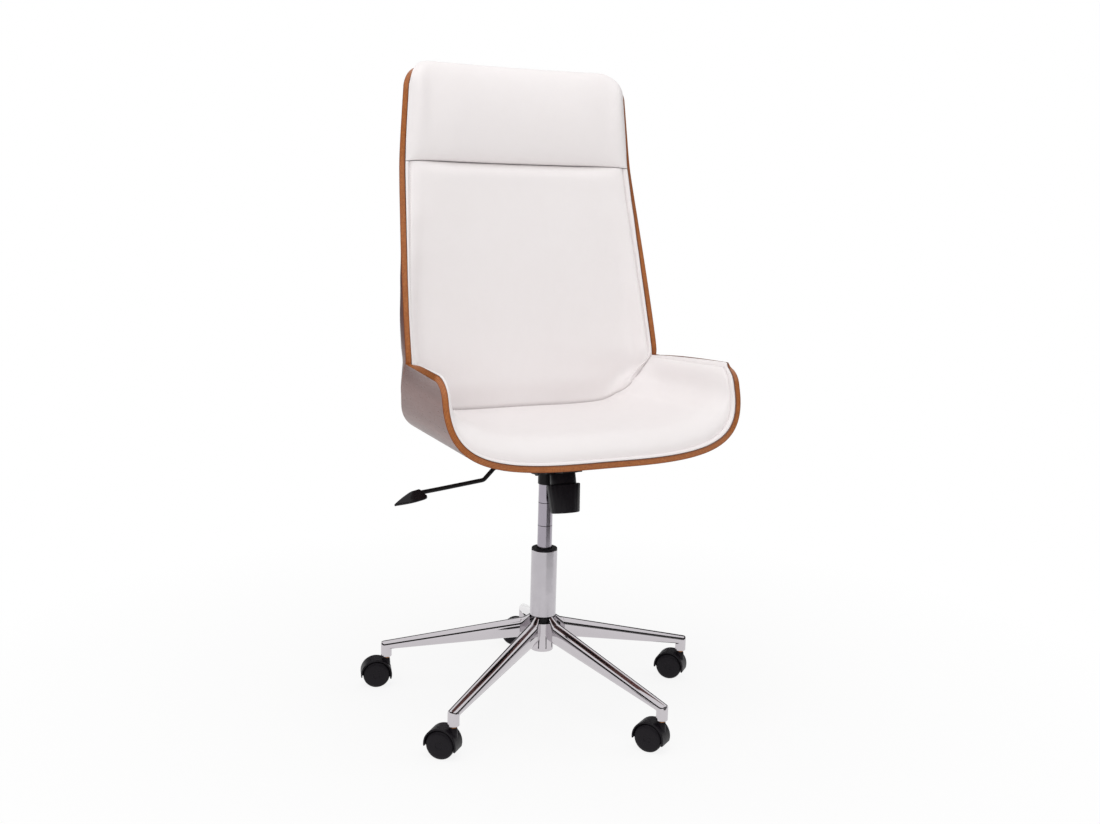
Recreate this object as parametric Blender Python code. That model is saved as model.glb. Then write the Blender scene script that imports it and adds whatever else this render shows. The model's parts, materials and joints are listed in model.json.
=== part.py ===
"""Office chair with moulded ply shells, leatherette pads, tilt mechanism, gas lift and five-leg base.

Metres, +Z up. The floor is z = 0, the lift column stands on the Z axis and the chair faces -Y.
"""

import math

import bmesh
import bpy
from mathutils import Matrix, Vector

# Clearances
GAP = 0.0003                    # between faces that rest on each other
RUN = 0.0003                    # radial, between a turning or sliding piece and its hole
SEAM = 0.0005                   # along Y, between the seat shell and the back shell

# Casters
WHEEL_RADIUS = 0.0262
WHEEL_WIDTH = 0.0117
WHEEL_EDGE = 0.0020             # bevel at the rim
WHEEL_FACE = 0.0028             # thickness of the closed outer face
WHEEL_SIDES = 20
AXLE_RADIUS = 0.0030
WEB_THICKNESS = 0.0108          # middle web of the hood, which also holds the stem
HOOD_INNER_CLEAR = 0.0018
HOOD_WALL = 0.0027
HOOD_TAIL_DROP = 8.0            # degrees below level where the hood ends, tail side
HOOD_STEM_DROP = 17.0           # the same, stem side
TRAIL = 0.0198                  # from the swivel axis to the axle
BOSS_RADIUS = 0.0072
BOSS_RISE = 0.0073              # of the stem boss above the top of the hood
SPIGOT_RADIUS = 0.0040
SPIGOT_LENGTH = 0.0190
FLANGE_RADIUS = 0.0064
FLANGE_THICKNESS = 0.0030
STEM_RADIUS = 0.0055
STEM_LENGTH = 0.0165

# Base: legs are placed round the Z axis, with the way each caster points, both in degrees
LEGS = {
    "left": (141.96, 252.6),
    "front_left": (213.96, 224.6),
    "front_right": (285.96, 214.4),
    "right": (357.96, 221.9),
    "back": (69.96, 225.0),
}
SOCKET_CIRCLE = 0.3154          # radius at which the stem sockets stand
SOCKET_RADIUS = 0.0107
SOCKET_INNER_HEIGHT = 0.0157    # from the socket mouth to the underside of the leg tip
SOCKET_OUTER_HEIGHT = 0.0290    # from the socket mouth to the top of the leg tip
LEG_ROOT_WIDTH = 0.0264
LEG_ROOT_HEIGHT = 0.0370
LEG_ROOT_RISE = 0.0672          # underside of the leg root above the socket mouth
HUB_REACH = 0.0415              # out to the faces that the legs meet
HUB_BORE_WALL = 0.0032
HUB_FOOT_DROP = 0.0228          # hub underside below the leg roots
HUB_FOOT_RADIUS = 0.0220
HUB_CROWN_RISE = 0.0100         # of the lobes beside the tube above the leg roots
HUB_EDGE = 0.0012
LOBE_TAPER = (0.74, 0.50, 0.38)  # lobe width half way in, at the tube and inside, over its width at the leg
TUBE_MOUTH_CLEAR = 0.0012       # between the tube and the lobes beside it

# Column
TUBE_RADIUS = 0.0250
TUBE_WALL = 0.0016
TUBE_LENGTH = 0.1290            # of the full-width part
SPIGOT_TUBE_RADIUS = 0.0195     # of the narrow foot inside the hub
TUBE_SHOULDER = 0.0080
TUBE_FOOT_PLATE = 0.0025
BUSH_FLANGE = 0.0035
BUSH_LENGTH = 0.0700
ROD_RADIUS = 0.0050
ROD_LENGTH = 0.1450
BEARING_HEIGHT = 0.0040
BEARING_RADIUS = 0.0110
CLIP_HEIGHT = 0.0012
CLIP_RADIUS = 0.0085

# Gas cylinder
CYLINDER_RADIUS = 0.0140
CYLINDER_TAPER_RADIUS = 0.0126
CYLINDER_OVERLAP = 0.0800       # of the cylinder inside the column at rest
CYLINDER_SHOW = 0.1290          # from the column mouth to the taper collar
CYLINDER_GROOVE = 0.0006
GROOVE_HEIGHTS = (0.0480, 0.0930)
LIFT_STROKE = 0.1000
BUTTON_RADIUS = 0.0045
BUTTON_PROUD = 0.0055
BUTTON_DEPTH = 0.0150

# Tilt bracket
COLLAR_RADIUS = 0.0158
COLLAR_HEIGHT = 0.0240
BRACKET_HALF_WIDTH = 0.0360
BRACKET_WALL = 0.0030
BRACKET_FRONT = 0.1040          # in front of the column axis
TONGUE_START = 0.0720           # where the channel narrows to the tongue above the shroud
TONGUE_HALF_WIDTH = 0.0200
BRACKET_BACK = 0.0350           # behind it
BRACKET_HEIGHT = 0.0265         # of its side walls at the back
BRACKET_NOSE_RISE = 0.0090      # of their top edge towards the front
COLLAR_LIP = 0.0050             # of the collar above the channel's floor
CYLINDER_SUNK = 0.0050          # of the cylinder's top below the channel's top
PIVOT_FRONT = 0.0400            # tilt axis in front of the column axis
PIVOT_RISE = 0.0125             # tilt axis above the collar top
PIN_RADIUS = 0.0040
PIN_HALF_LENGTH = 0.0500
PIN_HEAD_RADIUS = 0.0060
PIN_HEAD_THICKNESS = 0.0025
EAR_HALF_SPACING = 0.0400       # inner faces of the seat plate's ears
EAR_THICKNESS = 0.0030
EAR_RADIUS = 0.0100
EAR_FOOT = 0.0180               # half length of an ear along the plate

# Tension spring, its shroud and knob, about an axis that leans in the plane x = 0
KNOB_LEAN = 12.0                # degrees, foot forward
KNOB_AXIS_FRONT = 0.0690        # of the knob's top in front of the column axis
KNOB_DROP = 0.0225              # of the knob's top below the tilt axis
KNOB_HEIGHT = 0.0534
KNOB_TOP_RADIUS = 0.0315
KNOB_FOOT_RADIUS = 0.0272
KNOB_WALL = 0.0030
SHROUD_RADIUS = 0.0245
SHROUD_WALL = 0.0020
SHROUD_HEIGHT = 0.0230          # shown above the knob
SHROUD_SKIRT = 0.0200           # hidden in the knob
BOLT_RADIUS = 0.0040
SPRING_RADIUS = 0.0125
SPRING_WIRE = 0.0022
SPRING_TURNS = 5
WASHER_THICKNESS = 0.0020
KNOB_BOSS_HEIGHT = 0.0200
KNOB_EDGE = 0.0012

# Lift lever and rocker
LEVER_RISE = 0.0154             # of the lever's axis above the channel's underside
LEVER_RADIUS = 0.0040
LEVER_ROUTE = (                 # x and z outside the rocker's sleeve, z from the lever's axis
    (-0.1090, 0.0000),
    (-0.1311, -0.0219),
    (-0.2190, -0.0316),
    (-0.2560, -0.0354),
)
LEVER_BEND = 0.0120
SLEEVE_RADIUS = 0.0066
SLEEVE_OUTER_X = 0.0780
SLEEVE_INNER_X = 0.0400
SLEEVE_GRIP = 0.0050            # of solid sleeve behind the rod's bore
LEVER_TRAVEL = 0.0030           # left in the bore behind the rod
ROCKER_PIVOT_X = 0.0270
ROCKER_PIVOT_RISE = 0.0040      # above the lever's axis
ROCKER_WIDTH = 0.0110
ROCKER_LUG_CLEAR = 0.0008
SLOT_CLEAR = 0.0025
ROCKER_ARM = 0.0034
ROCKER_PIN_RADIUS = 0.0020
PADDLE_LENGTH = 0.0620
PADDLE_WIDTH = 0.0260
PADDLE_RIM = 0.0056             # thickness of the leaf at its edge
PADDLE_CREST = 0.0166           # of the hump above the middle of the leaf
PADDLE_CREST_WIDTH = 0.0180
PADDLE_CREST_END = 0.4000       # share of the length at which the hump starts to slope to the tip
PADDLE_OVERLAP = 0.0105         # of the paddle over the lever's end
PADDLE_DROP = 0.0094            # of the middle of the leaf under the lever's axis
PADDLE_LEAN = 11.2              # degrees that the paddle hangs down outwards

# Seat plate and its fasteners
PLATE_THICKNESS = 0.0030
PLATE_RISE = 0.0362             # plate underside above the tilt axis
PLATE_HALF_WIDTH = 0.0900
PLATE_FRONT = 0.1200
PLATE_BACK = 0.0900
PLATE_BOLTS_X = 0.0760
PLATE_BOLTS_Y = -0.1050
SCREW_RADIUS = 0.0030
SCREW_HEAD_RADIUS = 0.0055
SCREW_HEAD_HEIGHT = 0.0035
SCREW_SHORT = 0.0008            # of the inner face of the ply
STRAP_HALF_WIDTH = 0.0350
STRAP_THICKNESS = 0.0050
STRAP_OVERLAP = 0.0400          # welded length on the plate
STRAP_HEIGHT = 0.1800
STRAP_BOLTS_X = 0.0200
STRAP_BOLTS_RISE = 0.1450

# Seat shell: a section across the chair, ruled from its front edge to its seam with the back
PLY = 0.0110
SEAT_HALF_WIDTH = 0.2980        # at the front
SEAT_REAR_HALF_WIDTH = 0.2680   # at the seam
SEAT_FLAT = 0.0500              # half width of the level floor
FLOOR_REACH = 0.1700            # pull of the floor on the corner curve
WALL_REACH = 0.1010             # pull of the wall on the corner curve
WALL_START = 0.1200             # height at which the wall is upright
WING_HEIGHT = 0.1570
SEAT_FRONT = 0.2300
FRONT_LEAN = 15.9               # degrees that the wing's front edge leans back
WING_CORNER = 0.0250
CORNER_HEIGHT = 0.0940          # where the seam turns from the back's foot to its side
SEAT_ROWS = 3
CORNER_SPLIT = 0.45             # where an extra row rounds the wing's top corner

# Back shell, heights above the seat shell's underside
BACK_HEIGHT = 0.6950
BACK_TOP_HALF_WIDTH = 0.2322
BACK_NARROWING = 1.4            # power of the narrowing towards the top
BACK_FOOT_Y = 0.1575
BACK_LEAN = 5.2                 # degrees, along the middle
BACK_HEAD_LEAN = 2.9
HEAD_HEIGHT = 0.5210            # seam under the headrest
EDGE_WAIST_Y = 0.0455           # side edge where it leaves the wing
EDGE_LEAN = 15.6
EDGE_HEAD_LEAN = 4.2
EDGE_BLEND = 0.0050
SEAM_ARC = 0.0950               # radius of the seam's rise along the wing
SEAM_ARC_HEIGHT = 0.0900
SEAM_ARC_Y = 0.0730
BACK_CORNER = 0.0400
BACK_MIDDLE_PULL = 0.7000       # share of the half width that stays nearly flat
EDGE_PULL_LOW = 0.0900
EDGE_PULL_HIGH = 0.0400
EDGE_TURNS = (
    (0.11, 75.0), (0.19, 90.0), (0.23, 90.0), (0.30, 84.0), (0.37, 73.0), (0.44, 60.0), (0.51, 48.0), (0.695, 42.0)
)
BACK_COLUMNS = (0.0, 0.12, 0.25, 0.38, 0.50, 0.60, 0.69, 0.77, 0.84, 0.90, 0.95, 0.98, 1.0)
BACK_ROWS = 5                   # between the wing and the headrest seam
HEAD_ROWS = 4                   # above that seam

# Pads
PAD_GAP = 0.0008
PAD_SEAM = 0.0006               # along Y, between the seat pad and the back pad
PAD_INSET = 0.0020              # of a pad's rim from the ply's edge
BORDER = 0.0120                 # of the stitched seam from the ply's edge
BORDER_THICKNESS = 0.0040
SEAT_PAD = 0.0430
WING_PAD = 0.0130
SEAT_PAD_ROLL = 0.0500          # length over which the pad rises behind the front seam
JUNCTION_MIDDLE = 0.0350
JUNCTION_CORNER = 0.0400
JUNCTION_SIDE = 0.0060
JUNCTION_BIAS = 0.0088
BACK_PAD = 0.0360
BACK_PAD_SIDE = 0.0150
HEAD_PAD = 0.0500
HEAD_PAD_SIDE = 0.0300
HEAD_PAD_RISE = 0.0130          # of the headrest above the ply's top edge

# Heights worked out from the floor upwards
HOOD_OUTER = WHEEL_RADIUS + HOOD_INNER_CLEAR + HOOD_WALL
BOSS_TOP = WHEEL_RADIUS + math.sqrt(HOOD_OUTER ** 2 - TRAIL ** 2) + BOSS_RISE
FLANGE_BOTTOM = BOSS_TOP + GAP
SOCKET_MOUTH = FLANGE_BOTTOM + FLANGE_THICKNESS + GAP
LEG_ROOT_BOTTOM = SOCKET_MOUTH + LEG_ROOT_RISE
LEG_ROOT_TOP = LEG_ROOT_BOTTOM + LEG_ROOT_HEIGHT
HUB_BOTTOM = LEG_ROOT_BOTTOM - HUB_FOOT_DROP
CROWN_TOP = LEG_ROOT_TOP + HUB_CROWN_RISE
SHOULDER_TOP = CROWN_TOP + HUB_EDGE
SHOULDER_BOTTOM = SHOULDER_TOP - TUBE_SHOULDER
TUBE_FOOT = HUB_BOTTOM + 2 * CLIP_HEIGHT
TUBE_TOP = SHOULDER_TOP + TUBE_LENGTH
BUSH_TOP = TUBE_TOP + GAP + BUSH_FLANGE
CYLINDER_BOTTOM = TUBE_TOP - CYLINDER_OVERLAP
COLLAR_BOTTOM = TUBE_TOP + CYLINDER_SHOW
COLLAR_TOP = COLLAR_BOTTOM + COLLAR_HEIGHT
BRACKET_TOP = COLLAR_TOP + BRACKET_HEIGHT
CYLINDER_TOP = BRACKET_TOP - CYLINDER_SUNK
BUTTON_TOP = CYLINDER_TOP + BUTTON_PROUD
PIVOT = Vector((0.0, -PIVOT_FRONT, COLLAR_TOP + PIVOT_RISE))
LEVER_Z = COLLAR_TOP + LEVER_RISE
ROCKER_PIVOT = Vector((-ROCKER_PIVOT_X, 0.0, LEVER_Z + ROCKER_PIVOT_RISE))
ROCKER_LUG_Y = ROCKER_WIDTH / 2 + ROCKER_LUG_CLEAR
KNOB_UP = Vector((0.0, math.sin(math.radians(KNOB_LEAN)), math.cos(math.radians(KNOB_LEAN))))
KNOB_TOP = Vector((0.0, -KNOB_AXIS_FRONT, PIVOT.z - KNOB_DROP))
PLATE_BOTTOM = PIVOT.z + PLATE_RISE
PLATE_TOP = PLATE_BOTTOM + PLATE_THICKNESS
SEAT_Z = PLATE_TOP + GAP
HEAD_Z = SEAT_Z + HEAD_HEIGHT
BACK_TOP_Z = SEAT_Z + BACK_HEIGHT
WAIST_Z = SEAT_Z + WING_HEIGHT


# Materials

def material(name, colour, roughness, metallic=0.0):
    """A Principled material; colour is linear RGB."""
    made = bpy.data.materials.new(name)
    made.use_nodes = True
    made.diffuse_color = (*colour, 1.0)
    shader = made.node_tree.nodes["Principled BSDF"]
    shader.inputs["Base Color"].default_value = (*colour, 1.0)
    shader.inputs["Roughness"].default_value = roughness
    shader.inputs["Metallic"].default_value = metallic
    return made


for old in list(bpy.data.objects):
    bpy.data.objects.remove(old, do_unlink=True)

LEATHERETTE = material("white_leatherette", (0.86, 0.83, 0.82), 0.50)
WALNUT = material("walnut_veneer", (0.20, 0.085, 0.045), 0.35)
CHROME = material("chrome", (0.80, 0.79, 0.80), 0.08, 1.0)
SATIN_STEEL = material("satin_steel", (0.62, 0.61, 0.62), 0.30, 1.0)
BLACK_PLASTIC = material("black_plastic", (0.016, 0.014, 0.016), 0.45)
BLACK_STEEL = material("black_steel", (0.02, 0.02, 0.021), 0.40, 0.6)
ZINC_STEEL = material("zinc_steel", (0.50, 0.49, 0.47), 0.40, 1.0)


# Helpers

def clamp(value, low, high):
    return max(low, min(high, value))


def mix(a, b, t):
    return a + (b - a) * t


def ease(low, high, value):
    """0 below low, 1 above high, with level ends."""
    t = clamp((value - low) / (high - low), 0.0, 1.0)
    return t * t * (3.0 - 2.0 * t)


def ease_line(low, high, value):
    """0 below low, 1 above high, a straight line between."""
    return clamp((value - low) / (high - low), 0.0, 1.0)


def soft_max(a, b, width):
    return 0.5 * (a + b) + math.sqrt((0.5 * (a - b)) ** 2 + width ** 2)


def soft_min(a, b, width):
    return 0.5 * (a + b) - math.sqrt((0.5 * (a - b)) ** 2 + width ** 2)


def bezier(p0, p1, p2, p3, t):
    """A point of a cubic curve; the points may be numbers or vectors."""
    u = 1.0 - t
    return p0 * u ** 3 + p1 * 3 * u * u * t + p2 * 3 * u * t * t + p3 * t ** 3


def mesh_from(name, bm, finish_material, smooth_angle=35.0):
    """Close a bmesh into a mesh with outward faces and smooth round parts."""
    bmesh.ops.recalc_face_normals(bm, faces=bm.faces)
    mesh = bpy.data.meshes.new(name)
    bm.to_mesh(mesh)
    bm.free()
    mesh.shade_smooth()
    mesh.set_sharp_from_angle(angle=math.radians(smooth_angle))
    mesh.materials.append(finish_material)
    return mesh


def finish(name, bm, finish_material, smooth_angle=35.0):
    """A named object from a bmesh."""
    made = bpy.data.objects.new(name, mesh_from(name, bm, finish_material, smooth_angle))
    bpy.context.collection.objects.link(made)
    return made


def add_rings(bm, rings, cap_ends=True, join_ends=False):
    """Bridge rings of equal length; a ring of one point is a tip."""
    made = [[bm.verts.new(p) for p in ring] for ring in rings]
    pairs = list(zip(made, made[1:]))
    if join_ends:
        pairs.append((made[-1], made[0]))
    for low, high in pairs:
        count = max(len(low), len(high))
        for i in range(count):
            j = (i + 1) % count
            if len(low) == 1:
                bm.faces.new((low[0], high[i], high[j]))
            elif len(high) == 1:
                bm.faces.new((low[i], low[j], high[0]))
            else:
                bm.faces.new((low[i], low[j], high[j], high[i]))
    if cap_ends and not join_ends:
        for ring in (made[0], made[-1]):
            if len(ring) > 2:
                bm.faces.new(ring)


def circle(radius, z, sides, centre=(0.0, 0.0), turn=0.0):
    """Points of a level circle."""
    points = []
    for i in range(sides):
        a = 2 * math.pi * (i + turn) / sides
        points.append(Vector((centre[0] + radius * math.cos(a), centre[1] + radius * math.sin(a), z)))
    return points


def lathe(bm, profile, sides, matrix=Matrix(), closed=False, turn=0.0):
    """Turn (radius, height) points about Z; a closed profile makes a ring with a bore."""
    rings = []
    for radius, z in profile:
        ring = circle(radius, z, sides, turn=turn) if radius > 0 else [Vector((0.0, 0.0, z))]
        rings.append([matrix @ p for p in ring])
    add_rings(bm, rings, join_ends=closed)


def turned(name, profile, sides, finish_material, closed=False, matrix=Matrix()):
    """A turned object."""
    bm = bmesh.new()
    lathe(bm, profile, sides, matrix, closed)
    return finish(name, bm, finish_material)


def cylinder_between(bm, start, end, radius, sides, turn=0.5):
    """A round bar between two points."""
    axis = end - start
    matrix = Matrix.Translation(start) @ axis.to_track_quat("Z", "Y").to_matrix().to_4x4()
    lathe(bm, [(radius, 0.0), (radius, axis.length)], sides, matrix, turn=turn)


def box(bm, low, high):
    """An upright block between two corners."""
    size = Vector(high) - Vector(low)
    middle = (Vector(high) + Vector(low)) / 2
    bmesh.ops.create_cube(bm, size=1.0, matrix=Matrix.Translation(middle) @ Matrix.Diagonal((*size, 1.0)))


def extrude_outline(bm, outline, depth, matrix):
    """A flat outline in XY, thickened along Z from 0 to depth and then placed."""
    add_rings(bm, [[matrix @ Vector((x, y, z)) for x, y in outline] for z in (0.0, depth)])


def cutter(name, build):
    """A hidden tool body; build fills its bmesh."""
    bm = bmesh.new()
    build(bm)
    bmesh.ops.recalc_face_normals(bm, faces=bm.faces)
    mesh = bpy.data.meshes.new(name)
    bm.to_mesh(mesh)
    bm.free()
    made = bpy.data.objects.new(name, mesh)
    bpy.context.collection.objects.link(made)
    made.hide_render = True
    made.display_type = "WIRE"
    return made


def boolean(target, tool, operation="DIFFERENCE"):
    """Add a Boolean modifier that cuts with a tool or joins it."""
    modifier = target.modifiers.new(operation.lower() + "_" + tool.name, "BOOLEAN")
    modifier.operation = operation
    modifier.solver = "EXACT"
    modifier.object = tool
    return modifier


def set_origin(made, point):
    """Move an object's origin to a point and leave its shape where it is."""
    made.data.transform(Matrix.Translation(-Vector(point)))
    made.location = Vector(point)


def empty(name, location, turn=0.0):
    """A parent for pieces that move together, turned about Z by degrees."""
    made = bpy.data.objects.new(name, None)
    made.location = location
    made.rotation_euler = (0.0, 0.0, math.radians(turn))
    bpy.context.collection.objects.link(made)
    return made


# Casters

def wheel_mesh():
    """One wheel about X, its inner face at x = 0; a flat facet faces the floor."""
    bm = bmesh.new()
    to_x = Matrix.Rotation(math.radians(90), 4, "Y") @ Matrix.Rotation(math.radians(90), 4, "Z")
    corner = 1.0 / math.cos(math.pi / WHEEL_SIDES)
    rim = WHEEL_RADIUS * corner
    bore = AXLE_RADIUS + RUN
    depth = WHEEL_WIDTH - WHEEL_FACE
    profile = [
        (0.0, WHEEL_WIDTH),
        (rim - WHEEL_EDGE, WHEEL_WIDTH),
        (rim, WHEEL_WIDTH - WHEEL_EDGE),
        (rim, WHEEL_EDGE),
        (rim - WHEEL_EDGE, 0.0),
        (bore, 0.0),
        (bore, depth),
        (0.0, depth),
    ]
    lathe(bm, profile, WHEEL_SIDES, to_x, turn=0.5)
    return mesh_from("caster_wheel", bm, BLACK_PLASTIC)


def hood_half_width():
    """Out to the hood's sides, a little inside the wheels' outer faces."""
    return WEB_THICKNESS / 2 + 2 * GAP + WHEEL_WIDTH - HOOD_WALL / 4


def hood_outline():
    """Side view of the hood about the axle: an arc closed by a straight lower edge."""
    steps = 13
    first = -math.radians(HOOD_STEM_DROP)
    last = math.pi + math.radians(HOOD_TAIL_DROP)
    return [
        (HOOD_OUTER * math.cos(mix(first, last, i / steps)), HOOD_OUTER * math.sin(mix(first, last, i / steps)))
        for i in range(steps + 1)
    ]


def build_hood(name):
    """Hood, web and stem boss; local origin on the swivel axis at the floor, tail towards -Y."""
    half = hood_half_width()
    axle_at = Vector((0.0, -TRAIL, WHEEL_RADIUS))
    side_view = Matrix.Translation(axle_at + Vector((-half, 0, 0))) @ Matrix(
        ((0, 0, 1, 0), (1, 0, 0, 0), (0, 1, 0, 0), (0, 0, 0, 1)))
    bm = bmesh.new()
    extrude_outline(bm, hood_outline(), 2 * half, side_view)
    hood = finish(name, bm, BLACK_PLASTIC)

    def boss(tool):
        lathe(tool, [(BOSS_RADIUS, WHEEL_RADIUS + BOSS_RADIUS), (BOSS_RADIUS, BOSS_TOP)], 16)

    def wheel_space(tool, side):
        inner = side * WEB_THICKNESS / 2
        outer = side * (half + HOOD_WALL)
        start = axle_at + Vector((min(inner, outer), 0, 0))
        end = axle_at + Vector((max(inner, outer), 0, 0))
        cylinder_between(tool, start, end, WHEEL_RADIUS + HOOD_INNER_CLEAR, 28)

    def bores(tool):
        top = BOSS_TOP + HOOD_WALL
        lathe(tool, [(SPIGOT_RADIUS + RUN, BOSS_TOP - SPIGOT_LENGTH - GAP), (SPIGOT_RADIUS + RUN, top)], 12)

    def axle_hole(tool):
        reach = Vector((half, 0, 0))
        cylinder_between(tool, axle_at - reach, axle_at + reach, AXLE_RADIUS + RUN, 12)

    boolean(hood, cutter(name + "_boss", boss), "UNION")
    boolean(hood, cutter(name + "_space_left", lambda tool: wheel_space(tool, -1)))
    boolean(hood, cutter(name + "_space_right", lambda tool: wheel_space(tool, 1)))
    boolean(hood, cutter(name + "_bore", bores))
    boolean(hood, cutter(name + "_axle_hole", axle_hole))
    return hood


def frozen_mesh(made):
    """The evaluated mesh of an object with modifiers, which is then removed with its tools."""
    depsgraph = bpy.context.evaluated_depsgraph_get()
    mesh = bpy.data.meshes.new_from_object(made.evaluated_get(depsgraph))
    tools = [modifier.object for modifier in made.modifiers if modifier.type == "BOOLEAN"]
    for used in tools + [made]:
        bpy.data.objects.remove(used, do_unlink=True)
    return mesh


def stem_mesh():
    """Caster stem: spigot in the hood, flange and plain stem in the leg socket."""
    bm = bmesh.new()
    flange_top = FLANGE_BOTTOM + FLANGE_THICKNESS
    profile = [
        (0.0, FLANGE_BOTTOM - SPIGOT_LENGTH),
        (SPIGOT_RADIUS, FLANGE_BOTTOM - SPIGOT_LENGTH),
        (SPIGOT_RADIUS, FLANGE_BOTTOM),
        (FLANGE_RADIUS, FLANGE_BOTTOM),
        (FLANGE_RADIUS, flange_top),
        (STEM_RADIUS, flange_top),
        (STEM_RADIUS, flange_top + STEM_LENGTH),
        (0.0, flange_top + STEM_LENGTH),
    ]
    lathe(bm, profile, 14)
    return mesh_from("caster_stem", bm, ZINC_STEEL)


def axle_mesh():
    """Axle through the hood's web and both wheels."""
    bm = bmesh.new()
    reach = WEB_THICKNESS / 2 + 2 * GAP + WHEEL_WIDTH - WHEEL_FACE - 2 * GAP
    cylinder_between(bm, Vector((-reach, 0, 0)), Vector((reach, 0, 0)), AXLE_RADIUS, 12)
    return mesh_from("caster_axle", bm, ZINC_STEEL)


def place(name, mesh, parent, location=(0.0, 0.0, 0.0), turn_z=0.0):
    """An object that uses a shared mesh under a parent."""
    made = bpy.data.objects.new(name, mesh)
    made.parent = parent
    made.location = location
    made.rotation_euler = (0.0, 0.0, math.radians(turn_z))
    bpy.context.collection.objects.link(made)
    return made


def build_casters():
    """Five casters, each under an empty on its swivel axis."""
    hood = frozen_mesh(build_hood("caster_hood"))
    wheel = wheel_mesh()
    stem = stem_mesh()
    axle = axle_mesh()
    wheel_x = WEB_THICKNESS / 2 + 2 * GAP
    for side, (azimuth, heading) in LEGS.items():
        angle = math.radians(azimuth)
        spot = (SOCKET_CIRCLE * math.cos(angle), SOCKET_CIRCLE * math.sin(angle), 0.0)
        swivel = empty("swivel_" + side, spot, heading)
        axle_spot = (0.0, -TRAIL, WHEEL_RADIUS)
        place("caster_stem_" + side, stem, swivel)
        place("caster_hood_" + side, hood, swivel)
        place("caster_axle_" + side, axle, swivel, axle_spot)
        place("wheel_" + side + "_a", wheel, swivel, (wheel_x, -TRAIL, WHEEL_RADIUS))
        place("wheel_" + side + "_b", wheel, swivel, (-wheel_x, -TRAIL, WHEEL_RADIUS), 180.0)


# Base

def leg_section(width, bottom, top, radius_at):
    """Root section of a leg, one point for each step round the socket circle."""
    steps = 20
    half = width / 2
    shoulder = top - half
    corner = half * 0.45
    lower = [(1.0, mix(bottom, shoulder, 0.5)), (1.0, bottom + corner), (1.0 - corner / half, bottom), (0.4, bottom)]
    points = []
    for i in range(steps):
        a = 2 * math.pi * i / steps
        quarter = steps // 4
        if math.cos(a) >= -1e-9:
            y, z = half * math.sin(a), shoulder + half * math.cos(a)
        elif i == 2 * quarter:
            y, z = 0.0, bottom
        else:
            k = i - quarter if i < 2 * quarter else steps - quarter - i
            share, z = lower[k - 1]
            y = math.copysign(half * share, math.sin(a))
        points.append(Vector((radius_at, y, z)))
    return points


def leg_mesh():
    """A tapered leg along +X that turns down through a mitre into its stem socket."""
    steps = 20
    root_x = HUB_REACH + GAP
    inner_z = SOCKET_MOUTH + SOCKET_INNER_HEIGHT
    outer_z = SOCKET_MOUTH + SOCKET_OUTER_HEIGHT
    bore = STEM_RADIUS + RUN
    bore_top = SOCKET_MOUTH - GAP + STEM_LENGTH + 2 * GAP
    mitre = []
    for i in range(steps):
        a = 2 * math.pi * i / steps
        x = SOCKET_CIRCLE + SOCKET_RADIUS * math.cos(a)
        z = mix(inner_z, outer_z, 0.5 + 0.5 * math.cos(a))
        mitre.append(Vector((x, SOCKET_RADIUS * math.sin(a), z)))
    centre = (SOCKET_CIRCLE, 0.0)
    rings = [
        leg_section(LEG_ROOT_WIDTH, LEG_ROOT_BOTTOM, LEG_ROOT_TOP, root_x),
        mitre,
        circle(SOCKET_RADIUS, SOCKET_MOUTH, steps, centre),
        circle(bore, SOCKET_MOUTH, steps, centre),
        circle(bore, bore_top, steps, centre),
    ]
    bm = bmesh.new()
    add_rings(bm, rings)
    return mesh_from("leg", bm, CHROME, 40.0)


def lobe_section(x, rise, taper=1.0):
    """Section of a hub lobe at a distance from the axis, its crown raised and its width tapered."""
    return leg_section(LEG_ROOT_WIDTH * taper, LEG_ROOT_BOTTOM, LEG_ROOT_TOP + rise, x)


def build_hub():
    """Cast hub: a spool round the column's foot with five domed lobes."""
    core = SPIGOT_TUBE_RADIUS + RUN + HUB_BORE_WALL
    waist_top = CROWN_TOP - LEG_ROOT_WIDTH / 2
    flare = HUB_FOOT_DROP / 3
    profile = [
        (0.0, HUB_BOTTOM),
        (HUB_FOOT_RADIUS - HUB_EDGE, HUB_BOTTOM),
        (HUB_FOOT_RADIUS, HUB_BOTTOM + HUB_EDGE),
        (HUB_FOOT_RADIUS, HUB_BOTTOM + flare),
        (core - HUB_EDGE, mix(HUB_BOTTOM, waist_top, 0.55)),
        (core, waist_top - flare / 2),
        (core + HUB_EDGE, waist_top),
        (0.0, waist_top),
    ]
    hub = turned("base_hub", profile, 30, CHROME)

    def lobe(tool, azimuth):
        turn = Matrix.Rotation(math.radians(azimuth), 4, "Z")
        sections = [
            lobe_section(HUB_REACH, 0.0),
            lobe_section(mix(TUBE_RADIUS, HUB_REACH, 0.5), 0.4 * HUB_CROWN_RISE, LOBE_TAPER[0]),
            lobe_section(TUBE_RADIUS, HUB_CROWN_RISE, LOBE_TAPER[1]),
            lobe_section(SPIGOT_TUBE_RADIUS / 2, HUB_CROWN_RISE, LOBE_TAPER[2]),
        ]
        add_rings(tool, [[turn @ p for p in ring] for ring in sections])

    for side, (azimuth, _) in LEGS.items():
        boolean(hub, cutter("hub_lobe_" + side, lambda tool: lobe(tool, azimuth)), "UNION")

    def tube_seat(tool):
        bore = SPIGOT_TUBE_RADIUS + RUN
        mouth = TUBE_RADIUS + TUBE_MOUTH_CLEAR
        lathe(tool, [
            (bore, HUB_BOTTOM - HUB_FOOT_DROP),
            (bore, SHOULDER_BOTTOM - GAP),
            (mouth, SHOULDER_TOP),
            (mouth, SHOULDER_TOP + TUBE_SHOULDER),
        ], 30)

    boolean(hub, cutter("hub_bore", tube_seat))
    return hub


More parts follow.
